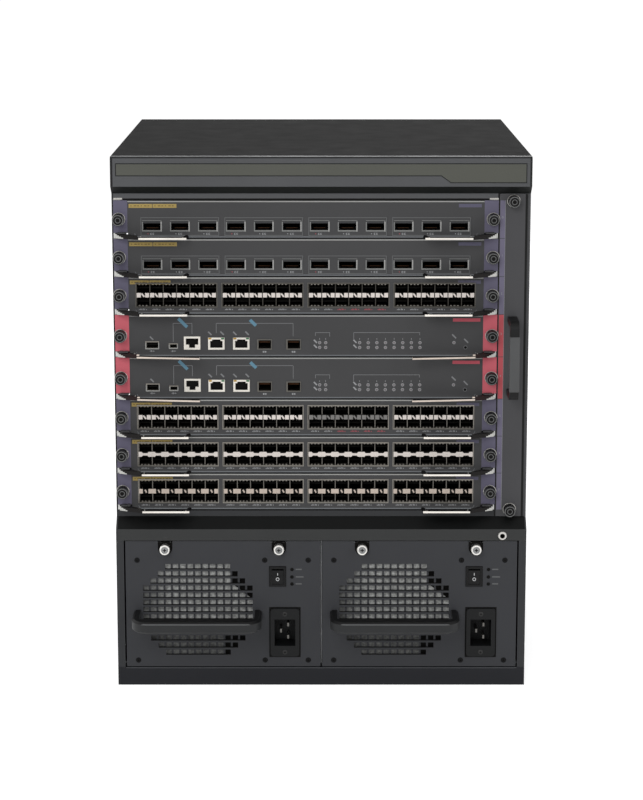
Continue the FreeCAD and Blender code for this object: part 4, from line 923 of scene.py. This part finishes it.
def jack_frame(shape, c, z0, top, key_half, key_tall, key_up):
    """White front of a modular jack, cut to the outline of its opening."""
    shoulder = (top - 1.9 - key_tall, top - 1.85) if key_up else (z0 + 1.85, z0 + 1.9 + key_tall)
    for side in (-1, 1):
        slab(shape, *sorted((c + side * 8.7, c + side * 6.6)), -0.95, -0.62, z0 - 0.1, top + 0.1, 0, 0.1)
        slab(shape, *sorted((c + side * 6.65, c + side * key_half)), -0.93, -0.62, *shoulder)
    for low, high in ((z0 - 0.1, z0 + 1.9), (top - 1.9, top + 0.1)):
        slab(shape, c - 6.65, c + 6.65, -0.94, -0.62, low, high)


def lamp_dot(shape, x, z):
    """Status lamp: pale printed ring round a small dull lens."""
    turned(shape, [(1.2, 0), (1.2, 0.25), (0.8, 0.45), (0, 0.45)], x, z, steps=10, finish=2)
    turned(shape, washer(1.2, 1.75, 0, 0.12), x, z, steps=12)


def card_sockets(rims, inner):
    """Modular jacks, plain sockets and uplink cages of a control card, with what fills them; a black
    plate behind each jack frame is painted shade, and a paler lip on each plain socket is a painted
    highlight.
    """
    for c, top, key_half, key_tall, up in ((81.5, 22.0, 3.2, 3.4, False), (107.2, 20.9, 4.5, 1.6, True),
                                           (133.6, 20.9, 4.5, 1.6, True)):
        jack_frame(rims, c, 8.1, top, key_half, key_tall, up)
        # Black plate just behind the jack frame: painted shade in the jack's opening.
        slab(inner, c - 6.7, c + 6.7, 2.4, 2.8, 9.0, top - 0.9)
        for at, lamp in ((c - 6.7, 1), (c + 6.7, 2)) if up else ():
            slab(rims, at - 1.6, at + 1.6, -1.1, -0.9, top - 1.9, top - 0.1, lamp, 0.1)
    for c, half, tall, z0, uplink in ((39.2, 6.8, 7.2, 9.2, False), (61.6, 4.3, 4.6, 9.6, False),
                                      (158.2, 7.3, 10.2, 8.5, True), (189.0, 7.3, 10.2, 8.5, True)):
        top, waist = z0 + tall, z0 + tall * 0.45
        rim, deep, heart = (4, 40, 1) if uplink else (3, 9, 0)
        panel_ring(rims, c - half - 0.5, c + half + 0.5, z0 - 0.5, top + 0.5, 0.8, -0.8, -0.2, rim)
        if not uplink:
            # Paler lip along the foot and lower sides of the rim: painted highlight.
            slab(rims, c - half - 0.5, c + half + 0.5, -0.9, MOUTH, z0 - 0.9, z0 + 0.2, 5, 0.1)
            for at in (c - half - 0.1, c + half + 0.1):
                slab(rims, at - 0.5, at + 0.5, -0.88, MOUTH, z0 - 0.6, z0 + tall * 0.8, 5, 0.1)
        slab(inner, c - half + 1.6, c + half - 1.6, deep * 0.3, deep * 0.9, waist, waist + 1.6, heart)
        slab(inner, c - half + 0.7, c + half - 0.7, deep, deep + 1, z0 + 0.7, top - 0.7)


def panel_print(ink):
    """Line work, tags and lamps of a control card."""
    def stroke(x0, x1, z0, z1, finish=5):
        slab(ink, x0, x1, -0.1, 0, z0, z1, finish)

    def diamond(x, z, long, wide=1.5, finish=5, front=-0.1):
        tilted_slab(ink, x, z, long, wide, front, 0, 45, finish)

    for x0, x1, foot0, foot1 in ((61.6, 81.5, 16.2, 24.7), (107.2, 188.6, 25.7, 22.2)):
        stroke(x0, x1, 35.95, 36.45)
        stroke(x0 - 0.25, x0 + 0.25, foot0, 36.2)
        stroke(x1 - 0.25, x1 + 0.25, foot1, 36.2)
    diamond(71.8, 36.8, 13.0, 3.4, 1, -0.16)
    diamond(146.2, 36.8, 8.8, 3.4, 1, -0.16)
    for x0, x1, foot0, foot1, tag, ticks in (
            (252.6, 323.0, 18.6, 23.4, 1.6, [259.1 + k * 9.14 for k in range(8)]),
            (212.0, 227.6, 22.6, 22.0, 0.2, [216.7, 223.1])):
        stroke(x0, x1, 26.0, 26.5)
        stroke(x0, x0 + 0.5, foot0, 26.0)
        stroke(x1 - 0.5, x1, foot1, 26.0)
        for x in ticks:
            lamp_dot(ink, x, 10.2)
            lamp_dot(ink, x, 15.4)
            stroke(x - 0.25, x + 0.25, 18.6, 20.2, 0)
        for z in (11.4, 16.8):
            diamond(x0 + tag, z, 4.6, finish=0)
    for x, z, long in ((100.4, 25.4, 5), (113.4, 25.6, 5), (126.8, 25.4, 5), (139.8, 25.6, 5),
                       (38.6, 20.2, 5), (359.2, 22.2, 6), (372.0, 17.4, 6)):
        diamond(x, z, long)
    for x in (158.2, 189.0):
        stroke(x - 1.8, x - 0.2, 4.6, 6.4, 0)
        stroke(x + 0.3, x + 1.9, 4.6, 6.4, 0)
    for x in (36.4, 59.0):
        for x0, x1, z0, z1 in ((0, 5.4, 6.0, 6.5), (1.2, 2.4, 5.3, 7.2), (3.6, 4.4, 5.6, 6.9)):
            stroke(x + x0, x + x1, z0, z1, 0)
    lamp_dot(ink, 359.1, 15.4)
    turned(ink, washer(1.6, 2.0, 0, 0.2), 371.3, 10.2, steps=14, finish=5)
    # Dark disc at the pinhole: painted shade in the hole.
    turned(ink, [(1.6, 0), (1.6, 0.08), (0, 0.08)], 371.3, 10.2, steps=12, finish=4)


def control_card(n):
    """Console, network and uplink sockets with their frames, lamps and line work."""
    rims, ink, inner = bmesh.new(), bmesh.new(), bmesh.new()
    card_sockets(rims, inner)
    panel_print(ink)
    fit_card(n, "socket_frames", rims,
             [JACK_WHITE, LED_AMBER, LED_GREEN, NICKEL, NICKEL_DIM, LIT_PORT_STEEL])
    fit_card(n, "socket_hearts", inner, [CAVITY, CONTACT])
    fit_card(n, "panel_print", ink, [PRINT_GREY, BLUE_TAG, LED_OFF, PRINT_PALE, CAVITY, PRINT_DIM])


def fit_cards():
    looks = {3: (BRIDGE_WHITE, "pads"), 6: (BRIDGE_WHITE, "pads"), 7: (BRIDGE_WHITE, "hexagons"),
             8: (BRIDGE_WARM, "windows")}
    for n, kind in enumerate(CARD_KINDS, 1):
        low, high = corners(f"card_{n}_faceplate")
        tall = high.z - low.z + 2 * SEAM
        card_screws(n, tall)
        card_ends(n, tall, RED if kind == "control" else PURPLE)
        card_edges(n, tall)
        card_labels(n, kind, tall)
        lever_plates(n, kind)
        if kind == "quad":
            quad_card(n)
        elif kind == "sfp":
            sfp_card(n, *looks[n])
        else:
            control_card(n)


# ---- fan tray fittings ----------------------------------------------

def fit_fan_tray():
    """Captive screws, the numbered slot strip and the grip on the handle."""
    low, high = corners("fan_tray_panel")
    at = low.x, low.y + SCREW_REACH, 0
    screws, strip, grip = bmesh.new(), bmesh.new(), bmesh.new()
    for z in (high.z - 7.5, low.z + 7.5):
        captive_knob(screws, (high.x - low.x) / 2, z)
    fit("fan_tray_captive_knobs", screws, at, "fan_tray", CAPTIVE_SCREW)
    for n, kind in enumerate(CARD_KINDS, 1):
        foot, top = (corner.z for corner in corners(f"card_{n}_faceplate"))
        slab(strip, 0.5, 5.7, -0.12, 0, foot + 0.1, top - 0.1, int(kind == "control"), 0.04)
        mark(f"fan_tray_slot_number_{n}", str(n - 1), 3.4,
             (low.x + 3.1, at[1] - 0.16, (foot + top) / 2 + 2), "fan_tray", PRINT_GREY)
    slab(strip, 5.75, 6.05, -0.1, 0, stack_low.z, stack_high.z, 2)
    fit("fan_tray_slot_strip", strip, at, "fan_tray", [STRIP_PURPLE, STRIP_RED, PRINT_GREY])
    low, high = corners("fan_tray_handle")
    slab(grip, -0.3, high.x - low.x + 0.3, -0.4, 5.0, 9.6, high.z - low.z - 15.5, 0, 0.5)
    fit("fan_tray_grip", grip, low, "fan_tray", [GRIP])


# ---- supply fittings ------------------------------------------------
# Shapes are drawn from the left end and foot of the supply's panel, and its rear or front face.

def fit_supply(n, label, shape, at, finishes):
    fit(f"psu_{n}_{label}", shape, at, f"psu_{n}", finishes)


def thumbscrews(n, at):
    """Large screw heads in holes darkened by a black plate behind them, painted shade; each with a pale
    face and a dark cross painted as shade for its crossed recess.
    """
    shape = bmesh.new()
    reach = SUPPLY_REACH
    for x in (42.8, 165.0):
        # Black plate and disc behind the notch: painted shade in the hole round the screw.
        slab(shape, x - 7.75, x + 7.75, -0.12, -0.02, 132.6, 138.9, 1)
        turned(shape, [(7.75, 0.05), (7.75, 0.15), (0, 0.15)], x, 132.6, steps=28, finish=1)
        for finish, profile in (
                (0, [(5.25, 2.6), (5.6, 3.0), (5.6, reach - 0.3), (5.0, reach + 0.4), (4.1, reach + 0.4),
                     (3.8, reach + 0.1), (3.7, reach - 0.2), (0, reach - 0.2)]),
                (2, [(3.75, reach), (3.75, reach + 0.12), (2.0, reach + 0.3), (0, reach + 0.3)]),
                (1, [(5.62, 3.4), (5.68, 3.5), (5.62, 3.6), (5.62, 3.4)])):
            turned(shape, profile, x, 132.6, steps=30, finish=finish)
        recess_shade_cross(shape, x, 132.6, 3.8, 0.95, -reach - 0.38, -reach - 0.2, 1)
    fit_supply(n, "thumbscrew_heads", shape, at, [THUMB_PLATE, CAVITY, THUMB_FACE])


def panel_screws(n, at):
    shape = bmesh.new()
    for x in (12.5, 149.7, 196.4):
        for z in (7.1, 119.3):
            turned(shape, [(2.9, 0), (2.9, 0.3), (2.2, 0.9), (0, 1.1)], x, z, steps=18)
            recess_shade_cross(shape, x, z, 2.6, 0.65, -1.1, -0.92, 1)
    fit_supply(n, "panel_screws", shape, at, [SCREW_DARK, CAVITY])


def supply_lamps(n, at):
    shape = bmesh.new()
    x = 178.9
    for z, long in ((108.9, 6.5), (100.5, 8.5), (92.7, 6.5)):
        turned(shape, [(1.5, 0), (2.0, 0), (2.0, 0.25), (1.5, 0.4), (1.5, 0)], x, z, steps=18)
        turned(shape, [(1.45, 0), (1.45, 0.2), (0.8, 0.6), (0, 0.7)], x, z, steps=14, finish=1)
        slab(shape, x + 4.0, x + 4.0 + long, -0.08, 0, z - 0.6, z + 0.8, 2)
    fit_supply(n, "lamps", shape, at, [KNOB, CAVITY, PRINT_FAINT])


def inlet_fittings(n):
    """Three blades in the inlet and the screws of its flange, drawn from its middle."""
    low, high = corners(f"psu_{n}_inlet")
    shape = bmesh.new()
    for x, z in ((3.4, 6.9), (-4.4, 0), (3.4, -6.9)):
        slab(shape, x - 1.1, x + 1.1, 6.8, 23.6, z - 2.1, z + 2.1, 0, 0.25)
    for z in (20.9, -21.9):
        turned(shape, [(2.6, 0), (2.6, 0.2), (1.9, 0.5), (0, 0.6)], 0, z, steps=18, finish=1)
        recess_shade_cross(shape, 0, z, 2.4, 0.6, -0.63, -0.45, 2)
    fit_supply(n, "inlet_fittings", shape, ((low.x + high.x) / 2, low.y, (low.z + high.z) / 2),
               [BLADE, FLANGE_SCREW, CAVITY])


def rocker_marks(n):
    """Line and ring printed on the two leaning faces of the rocker, drawn from its waist."""
    low, high = corners(f"psu_{n}_rocker")
    shape = bmesh.new()
    slab(shape, -0.35, 0.35, -0.1, 0.02, 2.0, 5.4)
    turned(shape, washer(1.25, 1.9, 0, 0.12), 0, -2.1, steps=20)
    halves = [v for v in shape.verts if v.co.z > 0], [v for v in shape.verts if v.co.z < 0]
    for verts, angle in zip(halves, (2.2, -16.2)):
        turn = Matrix.Rotation(math.radians(angle), 3, "X")
        bmesh.ops.rotate(shape, verts=verts, cent=(0, 0, 0), matrix=turn)
    fit(f"psu_{n}_rocker_marks", shape, ((low.x + high.x) / 2, low.y + 1.2, (low.z + high.z) / 2),
        f"psu_{n}_rocker", [PRINT_PALE])


def filter_sheet(n, at):
    """Pale filter sheet behind the grille, cut away at its two right-hand corners; a black sheet behind
    it and dark strips along the foot of each row of holes are painted shade.
    """
    x, z = 77.5, 64.0
    shape = bmesh.new()
    outline = (-61, -52), (28, -52), (28, -29), (61, -29), (61, 9), (36.5, 28), (36.5, 52), (-61, 52)
    outline_sheet(shape, [(x + dx, z + dz) for dx, dz in outline], 2.2, 2.8)
    # Black sheet behind the filter: painted shade inside the supply.
    slab(shape, x - 62.5, x + 62.5, 3.4, 3.7, z - 54, z + 54, 1)
    # Dark strip along the foot of each row of holes: painted shadow in the lower edge of the holes.
    for row in range(-6, 7):
        foot = z + row * 8 - 3.05
        slab(shape, x - 61.5, x + 61.5, -1.1, -0.02, foot, foot + 0.8, 1)
    finish = filter_finish(f"psu_{n}_filter", (172, 173, 171), at[0] + x - 64, at[2] + z - 17)
    fit_supply(n, "filter_sheet", shape, at, [finish, CAVITY])


def inlet_joint(n, at):
    """Dark joint line round the inlet flange and round the rocker bezel."""
    low, high = (corner - Vector(at) for corner in corners(f"psu_{n}_inlet"))
    shape = bmesh.new()
    panel_ring(shape, low.x - 1.3, high.x + 1.3, low.z - 1.3, high.z + 1.3, 2.0, -0.15, -0.01)
    panel_ring(shape, ROCKER_X - 9.2, ROCKER_X + 9.2, ROCKER_Z - 11.4, ROCKER_Z + 11.4, 1.0,
               -0.15, -0.01)
    fit_supply(n, "inlet_joint", shape, at, [CAVITY])


def fit_supplies():
    for n in (1, 2):
        low = corners(f"psu_{n}_front")[0]
        rear = low.x, low.y + SUPPLY_REACH, low.z
        front = low.x, low.y + SUPPLY_REACH - SUPPLY_PANEL, low.z
        thumbscrews(n, rear)
        panel_screws(n, front)
        supply_lamps(n, front)
        inlet_fittings(n)
        inlet_joint(n, front)
        rocker_marks(n)
        filter_sheet(n, rear)


# ---- floor, light and camera ----------------------------------------

def seen_directly(tree):
    """1 for rays that come straight from the camera, or by a mirror or glass."""
    path = node(tree, "ShaderNodeLightPath").outputs
    seen = math_node(tree, "MAXIMUM", path["Is Camera Ray"], path["Is Glossy Ray"])
    return math_node(tree, "MAXIMUM", seen, path["Is Transmission Ray"])


def pale_floor():
    """White floor: lit as a surface, with the part that the camera sees lifted to white."""
    shape = bmesh.new()
    bmesh.ops.create_grid(shape, x_segments=1, y_segments=1, size=30.0)
    mesh = bpy.data.meshes.new("floor")
    shape.to_mesh(mesh)
    shape.free()
    floor = stand("floor", mesh)
    material, tree, shader = start_finish("floor_white", specular=0.0)
    give(tree, shader, Base_Color=(0.8, 0.8, 0.8, 1), Roughness=0.9)
    glow = node(tree, "ShaderNodeEmission", Color=WHITE, Strength=0.6)
    both = node(tree, "ShaderNodeAddShader", (shader.outputs[0], glow.outputs[0]))
    pick = node(tree, "ShaderNodeMixShader", (seen_directly(tree), shader.outputs[0], both.outputs[0]))
    give(tree, tree.nodes["Material Output"], Surface=pick.outputs[0])
    mesh.materials.append(material)


def studio():
    """Even white room with broad soft lamps above the front, the back and each side."""
    world = bpy.data.worlds.new("studio")
    bpy.context.scene.world = world
    world.use_nodes = True
    tree = world.node_tree
    room = tree.nodes["Background"]
    give(tree, room, Color=WHITE, Strength=0.55)
    backdrop = node(tree, "ShaderNodeBackground", Color=WHITE, Strength=1.0)
    pick = node(tree, "ShaderNodeMixShader", (seen_directly(tree), room.outputs[0], backdrop.outputs[0]))
    give(tree, tree.nodes["World Output"], Surface=pick.outputs[0])
    for name, place, power, size in (
        ("lamp_front", (-0.9, -2.6, 1.9), 34, 1.6), ("lamp_right", (2.2, -1.6, 1.2), 12, 1.4),
        ("lamp_back", (0.4, 2.6, 2.0), 26, 1.6), ("lamp_left", (-2.6, 0.2, 1.2), 12, 1.4),
    ):
        light = bpy.data.lights.new(name, "AREA")
        light.energy = power
        light.size = size
        lamp = stand(name, light)
        lamp.location = place
        aim = Vector((0, 0, 0.3)) - Vector(place)
        lamp.rotation_euler = aim.to_track_quat("-Z", "Y").to_euler()


def camera():
    """Long lens a little above the top cover, tipped down to the middle of the front."""
    lens = bpy.data.cameras.new("camera")
    lens.sensor_width = 36.0
    lens.lens = 99.5
    lens.shift_y = -0.12
    view = stand("camera", lens)
    view.location = (0.0003, -2.5, 0.828)
    view.rotation_euler = (math.radians(90 - 10.11), 0, 0)
    bpy.context.scene.camera = view


bpy.context.scene.view_settings.view_transform = "Standard"
for step in (coat_enclosure, coat_cards, coat_fan_tray, coat_supplies, inlay_strip, jack_collar,
             plinth_highlight, flange_edges, rear_screws, fit_cards, fit_fan_tray, fit_supplies, pale_floor,
             studio, camera):
    step()
